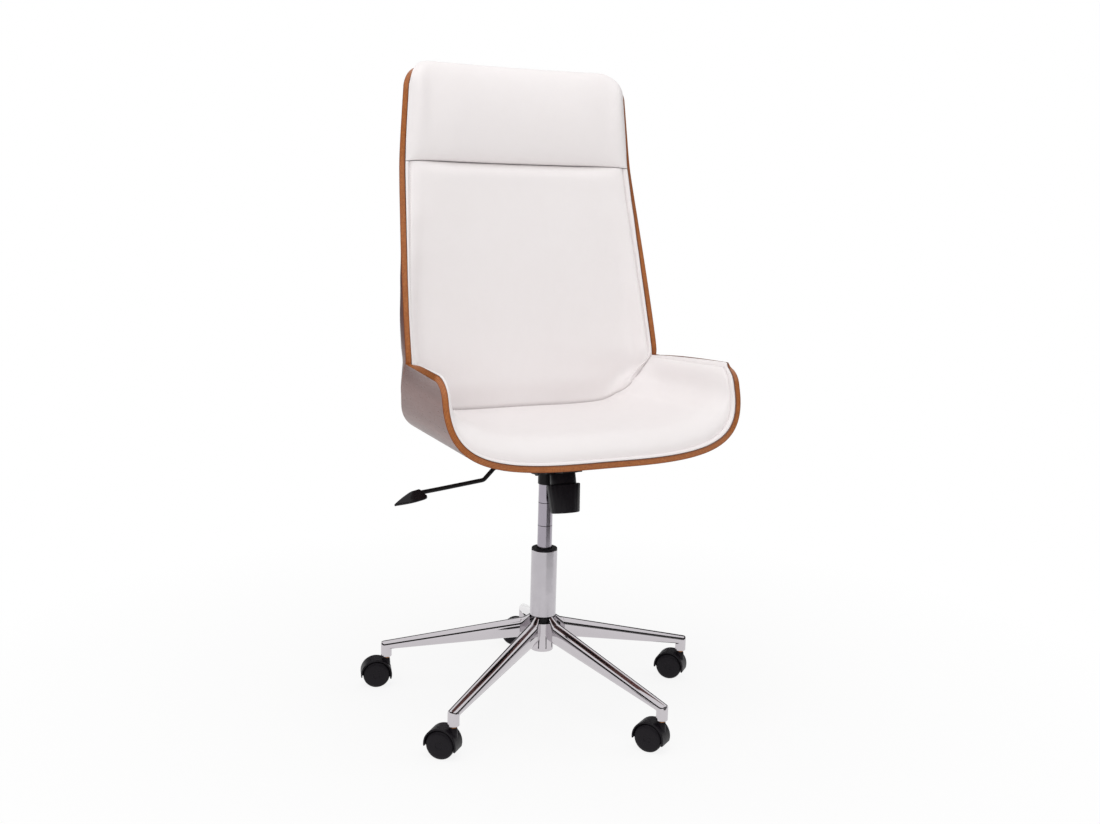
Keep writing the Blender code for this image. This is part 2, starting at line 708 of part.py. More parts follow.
def build_base():
    """Hub, legs, column tube and what the column holds."""
    build_hub()
    leg = leg_mesh()
    for side, (azimuth, _) in LEGS.items():
        place("leg_" + side, leg, None, turn_z=azimuth)
    inner = TUBE_RADIUS - TUBE_WALL
    foot_inner = SPIGOT_TUBE_RADIUS - TUBE_WALL
    rod_hole = ROD_RADIUS + RUN
    turned("column_tube", [
        (rod_hole, TUBE_FOOT),
        (SPIGOT_TUBE_RADIUS, TUBE_FOOT),
        (SPIGOT_TUBE_RADIUS, SHOULDER_BOTTOM),
        (TUBE_RADIUS, SHOULDER_TOP),
        (TUBE_RADIUS, TUBE_TOP),
        (inner, TUBE_TOP),
        (inner, SHOULDER_TOP),
        (foot_inner, SHOULDER_BOTTOM),
        (foot_inner, TUBE_FOOT + TUBE_FOOT_PLATE),
        (rod_hole, TUBE_FOOT + TUBE_FOOT_PLATE),
    ], 30, SATIN_STEEL, closed=True)
    bush_inner = CYLINDER_RADIUS + RUN
    turned("column_bush", [
        (bush_inner, BUSH_TOP - BUSH_LENGTH),
        (inner - GAP, BUSH_TOP - BUSH_LENGTH),
        (inner - GAP, TUBE_TOP + GAP),
        (TUBE_RADIUS - GAP, TUBE_TOP + GAP),
        (TUBE_RADIUS - GAP, BUSH_TOP - BUSH_FLANGE / 3),
        (TUBE_RADIUS - BUSH_FLANGE / 3, BUSH_TOP),
        (bush_inner, BUSH_TOP),
    ], 30, BLACK_PLASTIC, closed=True)
    bearing_bottom = TUBE_FOOT + TUBE_FOOT_PLATE + GAP
    turned("thrust_bearing", [
        (ROD_RADIUS + RUN, bearing_bottom),
        (BEARING_RADIUS, bearing_bottom),
        (BEARING_RADIUS, bearing_bottom + BEARING_HEIGHT),
        (ROD_RADIUS + RUN, bearing_bottom + BEARING_HEIGHT),
    ], 16, ZINC_STEEL, closed=True)
    clip_top = TUBE_FOOT - GAP
    turned("retaining_clip", [
        (ROD_RADIUS + RUN, clip_top - CLIP_HEIGHT),
        (CLIP_RADIUS, clip_top - CLIP_HEIGHT),
        (CLIP_RADIUS, clip_top),
        (ROD_RADIUS + RUN, clip_top),
    ], 16, ZINC_STEEL, closed=True)


def build_lift():
    """Piston rod, pressure cylinder and valve button."""
    rod_bottom = TUBE_FOOT - GAP - CLIP_HEIGHT
    rod_top = rod_bottom + ROD_LENGTH
    shoulder = TUBE_FOOT + TUBE_FOOT_PLATE + BEARING_HEIGHT + 2 * GAP
    turned("piston_rod", [
        (0.0, rod_bottom),
        (ROD_RADIUS, rod_bottom),
        (ROD_RADIUS, shoulder),
        (ROD_RADIUS * 1.3, shoulder),
        (ROD_RADIUS * 1.3, shoulder + BEARING_HEIGHT),
        (ROD_RADIUS, shoulder + BEARING_HEIGHT),
        (ROD_RADIUS, rod_top),
        (0.0, rod_top),
    ], 16, ZINC_STEEL)
    bore = ROD_RADIUS + RUN
    bore_top = rod_top + LIFT_STROKE + 2 * BEARING_HEIGHT
    outer = [(bore, CYLINDER_BOTTOM), (CYLINDER_RADIUS, CYLINDER_BOTTOM)]
    for height in sorted(GROOVE_HEIGHTS):
        z = TUBE_TOP + height
        depth = CYLINDER_GROOVE
        outer += [(CYLINDER_RADIUS, z - depth), (CYLINDER_RADIUS - depth, z), (CYLINDER_RADIUS, z + depth)]
    outer += [
        (CYLINDER_RADIUS, COLLAR_BOTTOM - CYLINDER_GROOVE),
        (CYLINDER_TAPER_RADIUS, CYLINDER_TOP),
        (BUTTON_RADIUS + RUN, CYLINDER_TOP),
        (BUTTON_RADIUS + RUN, CYLINDER_TOP - BUTTON_DEPTH),
        (0.0, CYLINDER_TOP - BUTTON_DEPTH),
    ]
    turned("gas_cylinder", [(0.0, bore_top), (bore, bore_top)] + outer, 24, SATIN_STEEL)
    turned("valve_button", [
        (0.0, CYLINDER_TOP - BUTTON_DEPTH + BUTTON_PROUD),
        (BUTTON_RADIUS, CYLINDER_TOP - BUTTON_DEPTH + BUTTON_PROUD),
        (BUTTON_RADIUS, BUTTON_TOP),
        (0.0, BUTTON_TOP),
    ], 14, ZINC_STEEL)


# Tilt mechanism

SIDE_VIEW = Matrix(((0, 0, 1, 0), (1, 0, 0, 0), (0, 1, 0, 0), (0, 0, 0, 1)))
KNOB_FRAME = Matrix.Translation(KNOB_TOP) @ KNOB_UP.to_track_quat("Z", "X").to_matrix().to_4x4()
SHROUD_TOP = (Vector((0.0, -COLLAR_RADIUS, COLLAR_TOP)) - KNOB_TOP).dot(KNOB_UP) - GAP


def side_block(bm, outline, half_width):
    """A block with a (y, z) outline, half_width each side of the middle."""
    extrude_outline(bm, outline, 2 * half_width, Matrix.Translation(Vector((-half_width, 0, 0))) @ SIDE_VIEW)


def channel_floor(y):
    """Underside of the channel, square to the knob's axis in front of the collar."""
    return COLLAR_TOP + max(0.0, -COLLAR_RADIUS - y) * math.tan(math.radians(KNOB_LEAN))


def build_bracket():
    """Pressed channel with the taper collar under it and lugs for the rocker inside."""
    wall = BRACKET_WALL
    front, back = -BRACKET_FRONT, BRACKET_BACK
    bm = bmesh.new()
    side_block(bm, [
        (front, channel_floor(front)),
        (-COLLAR_RADIUS, COLLAR_TOP),
        (back, COLLAR_TOP),
        (back, BRACKET_TOP),
        (-PIVOT_FRONT, BRACKET_TOP),
        (front, BRACKET_TOP + BRACKET_NOSE_RISE),
    ], BRACKET_HALF_WIDTH)
    bracket = finish("tilt_bracket", bm, BLACK_STEEL)

    def trough(tool):
        side_block(tool, [
            (front + wall, channel_floor(front + wall) + wall),
            (-COLLAR_RADIUS, COLLAR_TOP + wall),
            (back - wall, COLLAR_TOP + wall),
            (back - wall, BRACKET_TOP + BRACKET_HEIGHT),
            (front + wall, BRACKET_TOP + BRACKET_HEIGHT),
        ], BRACKET_HALF_WIDTH - wall)

    def collar(tool):
        lathe(tool, [
            (COLLAR_RADIUS - CYLINDER_GROOVE, COLLAR_BOTTOM),
            (COLLAR_RADIUS, COLLAR_BOTTOM + CYLINDER_GROOVE),
            (COLLAR_RADIUS, COLLAR_TOP + wall + COLLAR_LIP),
        ], 24)

    def lug(tool, side):
        near = side * ROCKER_LUG_Y
        far = side * (ROCKER_LUG_Y + wall)
        inner_x = -ROCKER_PIVOT_X + ROCKER_PIN_RADIUS + wall
        low = (-BRACKET_HALF_WIDTH + wall / 2, min(near, far), COLLAR_TOP + wall / 2)
        high = (inner_x, max(near, far), ROCKER_PIVOT.z + ROCKER_PIN_RADIUS + wall / 2)
        box(tool, low, high)

    def taper_bore(tool):
        slope = (CYLINDER_RADIUS - CYLINDER_TAPER_RADIUS) / (CYLINDER_TOP - COLLAR_BOTTOM)
        reach = COLLAR_HEIGHT
        low = CYLINDER_RADIUS + GAP + slope * reach
        high = CYLINDER_TAPER_RADIUS + GAP - slope * reach
        lathe(tool, [(low, COLLAR_BOTTOM - reach), (high, CYLINDER_TOP + reach)], 24)

    def tongue_side(tool, side):
        near = side * TONGUE_HALF_WIDTH
        far = side * (BRACKET_HALF_WIDTH + wall)
        low = (min(near, far), front - wall, COLLAR_BOTTOM)
        high = (max(near, far), -TONGUE_START, BRACKET_TOP + BRACKET_HEIGHT)
        box(tool, low, high)

    def pivot_hole(tool):
        reach = Vector((BRACKET_HALF_WIDTH + wall, 0, 0))
        cylinder_between(tool, PIVOT - reach, PIVOT + reach, PIN_RADIUS + GAP, 14)

    def lever_slot(tool):
        half_y = SLEEVE_RADIUS + SLOT_CLEAR
        low = (-BRACKET_HALF_WIDTH - wall, -half_y, LEVER_Z - SLEEVE_RADIUS - SLOT_CLEAR)
        high = (-BRACKET_HALF_WIDTH + wall, half_y, BRACKET_TOP + BRACKET_HEIGHT)
        box(tool, low, high)

    def rocker_pin_holes(tool):
        reach = Vector((0, ROCKER_LUG_Y + 2 * wall, 0))
        cylinder_between(tool, ROCKER_PIVOT - reach, ROCKER_PIVOT + reach, ROCKER_PIN_RADIUS + GAP, 10)

    def bolt_hole(tool):
        cylinder_between(tool, KNOB_TOP, KNOB_TOP + KNOB_UP * KNOB_HEIGHT, BOLT_RADIUS + GAP, 12)

    boolean(bracket, cutter("bracket_trough", trough))
    boolean(bracket, cutter("bracket_tongue_left", lambda tool: tongue_side(tool, -1)))
    boolean(bracket, cutter("bracket_tongue_right", lambda tool: tongue_side(tool, 1)))
    boolean(bracket, cutter("bracket_collar", collar), "UNION")
    boolean(bracket, cutter("bracket_lug_front", lambda tool: lug(tool, -1)), "UNION")
    boolean(bracket, cutter("bracket_lug_back", lambda tool: lug(tool, 1)), "UNION")
    boolean(bracket, cutter("bracket_taper", taper_bore))
    boolean(bracket, cutter("bracket_pivot_hole", pivot_hole))
    boolean(bracket, cutter("bracket_lever_slot", lever_slot))
    boolean(bracket, cutter("bracket_rocker_holes", rocker_pin_holes))
    boolean(bracket, cutter("bracket_bolt_hole", bolt_hole))


def build_pins():
    """Tilt pivot pin with its head, its clip, and the rocker's pin."""
    along_x = Matrix.Translation(PIVOT) @ Matrix.Rotation(math.radians(90), 4, "Y")
    head = PIN_HALF_LENGTH - PIN_HEAD_THICKNESS
    turned("pivot_pin", [
        (0.0, -PIN_HALF_LENGTH),
        (PIN_RADIUS, -PIN_HALF_LENGTH),
        (PIN_RADIUS, head),
        (PIN_HEAD_RADIUS, head),
        (PIN_HEAD_RADIUS, PIN_HALF_LENGTH),
        (0.0, PIN_HALF_LENGTH),
    ], 14, BLACK_STEEL, matrix=along_x)
    turned("pin_clip", [
        (PIN_RADIUS + GAP, -head - PIN_HEAD_THICKNESS / 2),
        (PIN_HEAD_RADIUS, -head - PIN_HEAD_THICKNESS / 2),
        (PIN_HEAD_RADIUS, -head + PIN_HEAD_THICKNESS / 2),
        (PIN_RADIUS + GAP, -head + PIN_HEAD_THICKNESS / 2),
    ], 14, BLACK_STEEL, closed=True, matrix=along_x)
    reach = Vector((0, ROCKER_LUG_Y + BRACKET_WALL, 0))
    bm = bmesh.new()
    cylinder_between(bm, ROCKER_PIVOT - reach, ROCKER_PIVOT + reach, ROCKER_PIN_RADIUS, 10)
    finish("rocker_pin", bm, ZINC_STEEL)


def build_tension():
    """Shroud, bolt, spring and washer under the channel, and the knob on the bolt."""
    skirt_radius = SHROUD_RADIUS - SHROUD_WALL
    turned("spring_shroud", [
        (skirt_radius - SHROUD_WALL, -SHROUD_SKIRT),
        (skirt_radius, -SHROUD_SKIRT),
        (SHROUD_RADIUS, 0.0),
        (SHROUD_RADIUS - SHROUD_WALL / 2, SHROUD_TOP),
        (BOLT_RADIUS + GAP, SHROUD_TOP),
        (BOLT_RADIUS + GAP, SHROUD_TOP - SHROUD_WALL),
        (skirt_radius - SHROUD_WALL, SHROUD_TOP - SHROUD_WALL),
    ], 28, BLACK_PLASTIC, closed=True, matrix=KNOB_FRAME)
    boss_top = -KNOB_HEIGHT + KNOB_BOSS_HEIGHT
    bore_end = -KNOB_HEIGHT + KNOB_WALL
    bore = BOLT_RADIUS + RUN
    turned("tension_knob", [
        (0.0, -KNOB_HEIGHT),
        (KNOB_FOOT_RADIUS - KNOB_EDGE, -KNOB_HEIGHT),
        (KNOB_FOOT_RADIUS, -KNOB_HEIGHT + KNOB_EDGE),
        (KNOB_TOP_RADIUS, -KNOB_EDGE),
        (KNOB_TOP_RADIUS - KNOB_EDGE, 0.0),
        (KNOB_TOP_RADIUS - KNOB_WALL, 0.0),
        (KNOB_FOOT_RADIUS - KNOB_WALL, bore_end),
        (2 * BOLT_RADIUS, bore_end),
        (2 * BOLT_RADIUS, boss_top),
        (bore, boss_top),
        (bore, bore_end),
        (0.0, bore_end),
    ], 28, BLACK_PLASTIC, matrix=KNOB_FRAME)
    bolt_seat = SHROUD_TOP + GAP + BRACKET_WALL + GAP
    turned("tension_bolt", [
        (0.0, bore_end + 2 * GAP),
        (BOLT_RADIUS, bore_end + 2 * GAP),
        (BOLT_RADIUS, bolt_seat),
        (2 * BOLT_RADIUS, bolt_seat),
        (2 * BOLT_RADIUS, bolt_seat + BOLT_RADIUS),
        (0.0, bolt_seat + BOLT_RADIUS),
    ], 12, ZINC_STEEL, matrix=KNOB_FRAME)
    washer_bottom = boss_top + GAP
    turned("spring_washer", [
        (bore, washer_bottom),
        (SPRING_RADIUS + SPRING_WIRE, washer_bottom),
        (SPRING_RADIUS + SPRING_WIRE, washer_bottom + WASHER_THICKNESS),
        (bore, washer_bottom + WASHER_THICKNESS),
    ], 16, ZINC_STEEL, closed=True, matrix=KNOB_FRAME)
    low = washer_bottom + WASHER_THICKNESS + GAP + SPRING_WIRE / 2
    high = SHROUD_TOP - SHROUD_WALL - GAP - SPRING_WIRE / 2
    coil_spring("tension_spring", low, high)


def coil_spring(name, low, high):
    """One helical tube about the knob's axis, its end turns level."""
    steps = 10
    sides = 6
    count = SPRING_TURNS * steps
    lead = (high - low) / (SPRING_TURNS - 1)
    print("least gap between the spring's turns", round(lead - SPRING_WIRE, 5))
    rings = []
    for i in range(count + 1):
        turn = i / steps
        angle = 2 * math.pi * turn
        height = mix(low, high, ease_line(0.5, SPRING_TURNS - 0.5, turn))
        out = Vector((math.cos(angle), math.sin(angle), 0.0))
        ring = []
        for k in range(sides):
            a = 2 * math.pi * k / sides
            ring.append(KNOB_FRAME @ (out * (SPRING_RADIUS + SPRING_WIRE / 2 * math.cos(a))
                                      + Vector((0, 0, height + SPRING_WIRE / 2 * math.sin(a)))))
        rings.append(ring)
    bm = bmesh.new()
    add_rings(bm, rings)
    return finish(name, bm, ZINC_STEEL)


# Lift lever

def rounded_route(points, radius, steps=4):
    """A polyline whose inner corners are rounded."""
    route = [points[0]]
    for before, corner, after in zip(points, points[1:], points[2:]):
        back = (before - corner).normalized()
        ahead = (after - corner).normalized()
        turn = math.pi - back.angle(ahead)
        trim = min(radius * math.tan(turn / 2), 0.4 * (before - corner).length, 0.4 * (after - corner).length)
        for i in range(steps + 1):
            t = i / steps
            start, end = corner + back * trim, corner + ahead * trim
            route.append(start * (1 - t) ** 2 + corner * 2 * t * (1 - t) + end * t * t)
    route.append(points[-1])
    return route


def tube_curve(name, points, radius, finish_material, resolution=2):
    """A round rod along a polyline, with filled ends."""
    data = bpy.data.curves.new(name, "CURVE")
    data.dimensions = "3D"
    data.bevel_depth = radius
    data.bevel_resolution = resolution
    data.use_fill_caps = True
    spline = data.splines.new("POLY")
    spline.points.add(len(points) - 1)
    for target, point in zip(spline.points, points):
        target.co = (*point, 1.0)
    data.materials.append(finish_material)
    made = bpy.data.objects.new(name, data)
    bpy.context.collection.objects.link(made)
    return made


def build_lever():
    """Rocker with its sleeve, the bent rod in it and the paddle on the rod's end."""
    pivot_gap = ROCKER_PIN_RADIUS + RUN
    top = BUTTON_TOP + GAP + ROCKER_ARM
    arm = BUTTON_TOP + GAP
    foot = LEVER_Z - SLEEVE_RADIUS
    block_x = -ROCKER_PIVOT_X + ROCKER_PIN_RADIUS + BRACKET_WALL
    outer_x = -SLEEVE_INNER_X - ROCKER_ARM
    outline = [
        (outer_x, foot),
        (block_x, foot),
        (block_x, arm),
        (BUTTON_RADIUS, arm),
        (BUTTON_RADIUS, top),
        (-ROCKER_PIVOT_X, top),
        (outer_x, LEVER_Z + SLEEVE_RADIUS),
    ]
    upright = Matrix(((1, 0, 0, 0), (0, 0, 1, -ROCKER_WIDTH / 2), (0, 1, 0, 0), (0, 0, 0, 1)))
    bm = bmesh.new()
    extrude_outline(bm, outline, ROCKER_WIDTH, upright)
    rocker = finish("lift_rocker", bm, BLACK_STEEL)

    def sleeve(tool):
        start = Vector((-SLEEVE_OUTER_X, 0, LEVER_Z))
        cylinder_between(tool, start, Vector((-SLEEVE_INNER_X, 0, LEVER_Z)), SLEEVE_RADIUS, 16)

    def rod_bore(tool):
        start = Vector((-SLEEVE_OUTER_X - SLEEVE_RADIUS, 0, LEVER_Z))
        end = Vector((-SLEEVE_INNER_X - SLEEVE_GRIP, 0, LEVER_Z))
        cylinder_between(tool, start, end, LEVER_RADIUS + RUN, 16)

    def pin_bore(tool):
        reach = Vector((0, ROCKER_WIDTH, 0))
        cylinder_between(tool, ROCKER_PIVOT - reach, ROCKER_PIVOT + reach, pivot_gap, 12)

    boolean(rocker, cutter("rocker_sleeve", sleeve), "UNION")
    boolean(rocker, cutter("rocker_rod_bore", rod_bore))
    boolean(rocker, cutter("rocker_pin_bore", pin_bore))
    route = [Vector((x, 0.0, LEVER_Z + z)) for x, z in LEVER_ROUTE]
    route.insert(0, Vector((-SLEEVE_INNER_X - SLEEVE_GRIP - LEVER_TRAVEL, 0.0, LEVER_Z)))
    tube_curve("lever_rod", rounded_route(route, LEVER_BEND), LEVER_RADIUS, BLACK_STEEL)
    build_paddle(route[-2], route[-1])


def leaf_ring(t, sides):
    """Outline of the paddle across its length: across and up, at a share of the length from its inner end."""
    fall = clamp((t - PADDLE_CREST_END) / (1.0 - PADDLE_CREST_END), 0.0, 1.0)
    root = clamp((t + 0.02) / 0.20, 0.0, 1.0)
    half = PADDLE_WIDTH / 2 * math.sqrt(1.0 - (1.0 - root) ** 2) * (1.0 - 0.94 * fall ** 1.7)
    rim = PADDLE_RIM / 2 * mix(1.0, 0.6, fall)
    crest = (PADDLE_CREST - rim) * (1.0 - fall ** 1.2) * ease(-0.03, 0.05, t)
    spread = mix(PADDLE_CREST_WIDTH / 2, half, fall)
    points = []
    for k in range(sides):
        a = 2 * math.pi * k / sides
        u = math.cos(a)
        lift = rim * (1.0 - u ** 4) ** 0.25
        if math.sin(a) > 0:
            hump = crest * math.exp(-(u * half / spread) ** 2) * (1.0 - u ** 4)
            points.append((u * half, lift + hump))
        else:
            points.append((u * half, -lift))
    return points


def build_paddle(inner, outer):
    """Leaf-shaped paddle with a hump that takes the end of the rod."""
    lean = math.radians(PADDLE_LEAN)
    along = Vector((-math.cos(lean), 0.0, -math.sin(lean)))
    up = Vector((-math.sin(lean), 0.0, math.cos(lean)))
    start = outer - along * PADDLE_OVERLAP - Vector((0.0, 0.0, PADDLE_DROP))
    rings = []
    for t in (0.0, 0.05, 0.14, 0.28, 0.40, 0.55, 0.70, 0.84, 0.94, 1.0):
        centre = start + along * (PADDLE_LENGTH * t)
        rings.append([centre + Vector((0.0, y, 0.0)) + up * z for y, z in leaf_ring(t, 16)])
    bm = bmesh.new()
    add_rings(bm, rings)
    paddle = finish("lever_paddle", bm, BLACK_PLASTIC)

    def socket(tool):
        way = (outer - inner).normalized()
        cylinder_between(tool, outer - way * PADDLE_LENGTH, outer + way * 2 * GAP, LEVER_RADIUS + GAP, 16)

    boolean(paddle, cutter("paddle_socket", socket))


# Seat plate, strap and their fasteners

def build_plate():
    """Flat plate with two ears that hang on the pivot pin, and the strap welded to it."""
    bm = bmesh.new()
    box(bm, (-PLATE_HALF_WIDTH, -PLATE_FRONT, PLATE_BOTTOM), (PLATE_HALF_WIDTH, PLATE_BACK, PLATE_TOP))
    plate = finish("seat_plate", bm, BLACK_STEEL)

    def ear(tool, side):
        inner = side * EAR_HALF_SPACING
        outer = side * (EAR_HALF_SPACING + EAR_THICKNESS)
        low_x = min(inner, outer)
        outline = [(PIVOT.y - EAR_FOOT, PLATE_BOTTOM + PLATE_THICKNESS / 2)]
        for i in range(9):
            a = math.pi + math.pi * i / 8
            outline.append((PIVOT.y + EAR_RADIUS * math.cos(a), PIVOT.z + EAR_RADIUS * math.sin(a)))
        outline.append((PIVOT.y + EAR_FOOT, PLATE_BOTTOM + PLATE_THICKNESS / 2))
        extrude_outline(tool, outline, EAR_THICKNESS, Matrix.Translation(Vector((low_x, 0, 0))) @ SIDE_VIEW)

    def pin_hole(tool):
        reach = Vector((PIN_HALF_LENGTH, 0, 0))
        cylinder_between(tool, PIVOT - reach, PIVOT + reach, PIN_RADIUS + RUN, 14)

    def bolt_holes(tool):
        for _, spot, inward, thickness in bolts():
            start = spot - inward * thickness
            cylinder_between(tool, start, spot + inward * 2 * thickness, SCREW_RADIUS + GAP, 10)

    boolean(plate, cutter("plate_ear_left", lambda tool: ear(tool, -1)), "UNION")
    boolean(plate, cutter("plate_ear_right", lambda tool: ear(tool, 1)), "UNION")
    boolean(plate, cutter("plate_strap", add_strap), "UNION")
    boolean(plate, cutter("plate_pin_hole", pin_hole))
    boolean(plate, cutter("plate_bolt_holes", bolt_holes))


STRAP_TOP = SEAT_Z - GAP
BACK_UP = Vector((0.0, math.sin(math.radians(BACK_LEAN)), math.cos(math.radians(BACK_LEAN))))
BACK_OUT = Vector((0.0, BACK_UP.z, -BACK_UP.y))


def bolts():
    """Name, outer face point, inward direction and steel thickness of each bolt."""
    made = []
    for side, sign in (("left", -1), ("right", 1)):
        spot = Vector((sign * PLATE_BOLTS_X, PLATE_BOLTS_Y, PLATE_BOTTOM))
        made.append(("plate_bolt_" + side, spot, Vector((0.0, 0.0, 1.0)), PLATE_THICKNESS))
        foot = Vector((sign * STRAP_BOLTS_X, BACK_FOOT_Y, SEAT_Z)) + BACK_UP * STRAP_BOLTS_RISE
        spot = foot + BACK_OUT * (GAP + STRAP_THICKNESS)
        made.append(("strap_bolt_" + side, spot, -BACK_OUT, STRAP_THICKNESS))
    return made


def add_strap(bm):
    """L-shaped strap under the seat and up the back's rear face."""
    thickness = STRAP_THICKNESS
    start = PLATE_BACK - STRAP_OVERLAP
    corner = Vector((0.0, BACK_FOOT_Y, SEAT_Z)) + BACK_OUT * GAP
    inner_corner = corner - BACK_UP * ((corner.z - STRAP_TOP) / BACK_UP.z)
    outer = corner + BACK_OUT * thickness
    outer_corner = outer - BACK_UP * ((outer.z - STRAP_TOP + thickness) / BACK_UP.z)
    top = BACK_UP * STRAP_HEIGHT
    bend = thickness * 1.2
    side_block(bm, [
        (start, STRAP_TOP - thickness),
        (outer_corner.y - bend, STRAP_TOP - thickness),
        (outer_corner.y - bend * 0.2, outer_corner.z + bend * 0.25),
        ((outer_corner + BACK_UP * bend).y, (outer_corner + BACK_UP * bend).z),
        ((outer + top).y, (outer + top).z),
        ((corner + top).y, (corner + top).z),
        (inner_corner.y, inner_corner.z),
        (start, STRAP_TOP),
    ], STRAP_HALF_WIDTH)


def screw(bm, seat_point, inward, length):
    """A round-headed screw whose head sits outside seat_point."""
    frame = Matrix.Translation(seat_point) @ inward.to_track_quat("Z", "Y").to_matrix().to_4x4()
    head = SCREW_HEAD_HEIGHT + GAP
    lathe(bm, [
        (0.0, -head),
        (SCREW_HEAD_RADIUS * 0.7, -head),
        (SCREW_HEAD_RADIUS, -head / 2),
        (SCREW_HEAD_RADIUS, -GAP),
        (SCREW_RADIUS, -GAP),
        (SCREW_RADIUS, length),
        (0.0, length),
    ], 10, frame)


def build_bolts():
    """Four bolts that hold the shells on the plate and its strap."""
    for name, spot, inward, thickness in bolts():
        bm = bmesh.new()
        screw(bm, spot, inward, thickness + GAP + PLY - SCREW_SHORT)
        finish(name, bm, ZINC_STEEL)


def cut_bolt_holes(shell, prefix):
    """Holes through a shell for the bolts whose names start with a prefix."""
    def holes(tool):
        for name, spot, inward, thickness in bolts():
            if name.startswith(prefix):
                end = spot + inward * (thickness + 2 * PLY)
                cylinder_between(tool, spot + inward * thickness * 0.5, end, SCREW_RADIUS + GAP, 10)

    boolean(shell, cutter(prefix + "_holes", holes))


# Shell surfaces: outer faces, for the half at +x; s runs from the middle, 0, to the edge, 1

def section_point(t):
    """x at the front and z of the seat's corner curve."""
    foot = Vector((SEAT_FLAT, SEAT_Z))
    wall = Vector((SEAT_HALF_WIDTH, SEAT_Z + WALL_START))
    pull_floor = foot + Vector((FLOOR_REACH, 0.0))
    pull_wall = wall - Vector((0.0, WALL_REACH))
    return bezier(foot, pull_floor, pull_wall, wall, t)


def section_solve(axis, value):
    """Curve parameter at which x (axis 0) or z (axis 1) has a value."""
    low, high = 0.0, 1.0
    for _ in range(40):
        t = 0.5 * (low + high)
        if section_point(t)[axis] < value:
            low = t
        else:
            high = t
    return 0.5 * (low + high)


def section_z(x):
    """Height of the seat's outer face at a front-section x."""
    if x <= SEAT_FLAT:
        return SEAT_Z
    return section_point(section_solve(0, x)).y


def section_x(z):
    """Front-section x of the seat's outer face at a height above its floor."""
    if z >= SEAT_Z + WALL_START:
        return SEAT_HALF_WIDTH
    return section_point(section_solve(1, z)).x


REAR_SHARE = SEAT_REAR_HALF_WIDTH / SEAT_HALF_WIDTH


def seat_front_y(z):
    """Front edge of the seat, leaning back, with a round top corner on the wing."""
    lean = math.tan(math.radians(FRONT_LEAN))
    y = -SEAT_FRONT + (z - SEAT_Z) * lean
    drop = WAIST_Z - z
    if drop >= WING_CORNER:
        return y
    return y + WING_CORNER - math.sqrt(max(0.0, WING_CORNER ** 2 - (WING_CORNER - drop) ** 2))


def middle_y(z):
    """Rear face of the back shell in the middle."""
    rise = z - SEAT_Z
    lean = BACK_FOOT_Y + rise * math.tan(math.radians(BACK_LEAN))
    head = (BACK_FOOT_Y + HEAD_HEIGHT * math.tan(math.radians(BACK_LEAN))
            + (rise - HEAD_HEIGHT) * math.tan(math.radians(BACK_HEAD_LEAN)))
    return min(lean, head)


def edge_y(z):
    """Front edge of the back shell, and of the seam below the waist."""
    rise = z - SEAT_Z
    lean = EDGE_WAIST_Y + (rise - WING_HEIGHT) * math.tan(math.radians(EDGE_LEAN))
    head = (EDGE_WAIST_Y + (HEAD_HEIGHT - WING_HEIGHT) * math.tan(math.radians(EDGE_LEAN))
            + (rise - HEAD_HEIGHT) * math.tan(math.radians(EDGE_HEAD_LEAN)))
    upper = soft_min(lean, head, EDGE_BLEND / 2)
    climb = rise - SEAM_ARC_HEIGHT
    arc = SEAM_ARC_Y - SEAM_ARC + math.sqrt(max(0.0, SEAM_ARC ** 2 - climb ** 2))
    return soft_max(upper, arc, EDGE_BLEND)


def edge_x(z):
    """Half width of the back shell's outer face."""
    if z <= WAIST_Z:
        return REAR_SHARE * section_x(max(z, SEAT_Z + CORNER_HEIGHT))
    share = clamp((z - WAIST_Z) / (BACK_TOP_Z - WAIST_Z), 0.0, 1.0)
    return mix(SEAT_REAR_HALF_WIDTH, BACK_TOP_HALF_WIDTH, share ** BACK_NARROWING)


def edge_turn(z):
    """Angle in degrees by which the section has turned at the edge, and the pull there."""
    rise = z - SEAT_Z
    (low_rise, angle), rest = EDGE_TURNS[0], EDGE_TURNS[1:]
    for high_rise, high_angle in rest:
        angle = mix(angle, high_angle, ease(low_rise, high_rise, rise)) if rise > low_rise else angle
        low_rise = high_rise
    pull = mix(EDGE_PULL_LOW, EDGE_PULL_HIGH, ease(WING_HEIGHT, HEAD_HEIGHT, rise))
    return angle, pull


def back_point(s, z):
    """Outer face of the back shell; s may be negative for the other half."""
    side, share = math.copysign(1.0, s), abs(s)
    edge = Vector((edge_x(z), edge_y(z)))
    middle = middle_y(z)
    angle, pull = edge_turn(z)
    a = math.radians(angle)
    inner = edge + Vector((-math.cos(a), math.sin(a))) * pull
    flat = Vector((BACK_MIDDLE_PULL * edge.x, middle))
    p = bezier(Vector((0.0, middle)), flat, inner, edge, share)
    return Vector((side * p.x, p.y, z))


def back_normal(s, z):
    """Unit normal of the back's outer face, towards the sitter."""
    step_s, step_z = 0.004, 0.002
    s0, s1 = clamp(s - step_s, -1, 1), clamp(s + step_s, -1, 1)
    across = back_point(s1, z) - back_point(s0, z)
    upward = back_point(s, z + step_z) - back_point(s, z - step_z)
    normal = across.cross(upward).normalized()
    return normal if normal.y < 0 or normal.x * s < 0 and abs(normal.y) < 0.2 else -normal


def foot_z(s):
    """Height at which a column of the back shell meets the seat shell's outer face."""
    z = SEAT_Z
    for _ in range(30):
        z = section_z(min(back_point(abs(s), z).x / REAR_SHARE, SEAT_HALF_WIDTH))
        z = min(z, SEAT_Z + CORNER_HEIGHT)
    return z


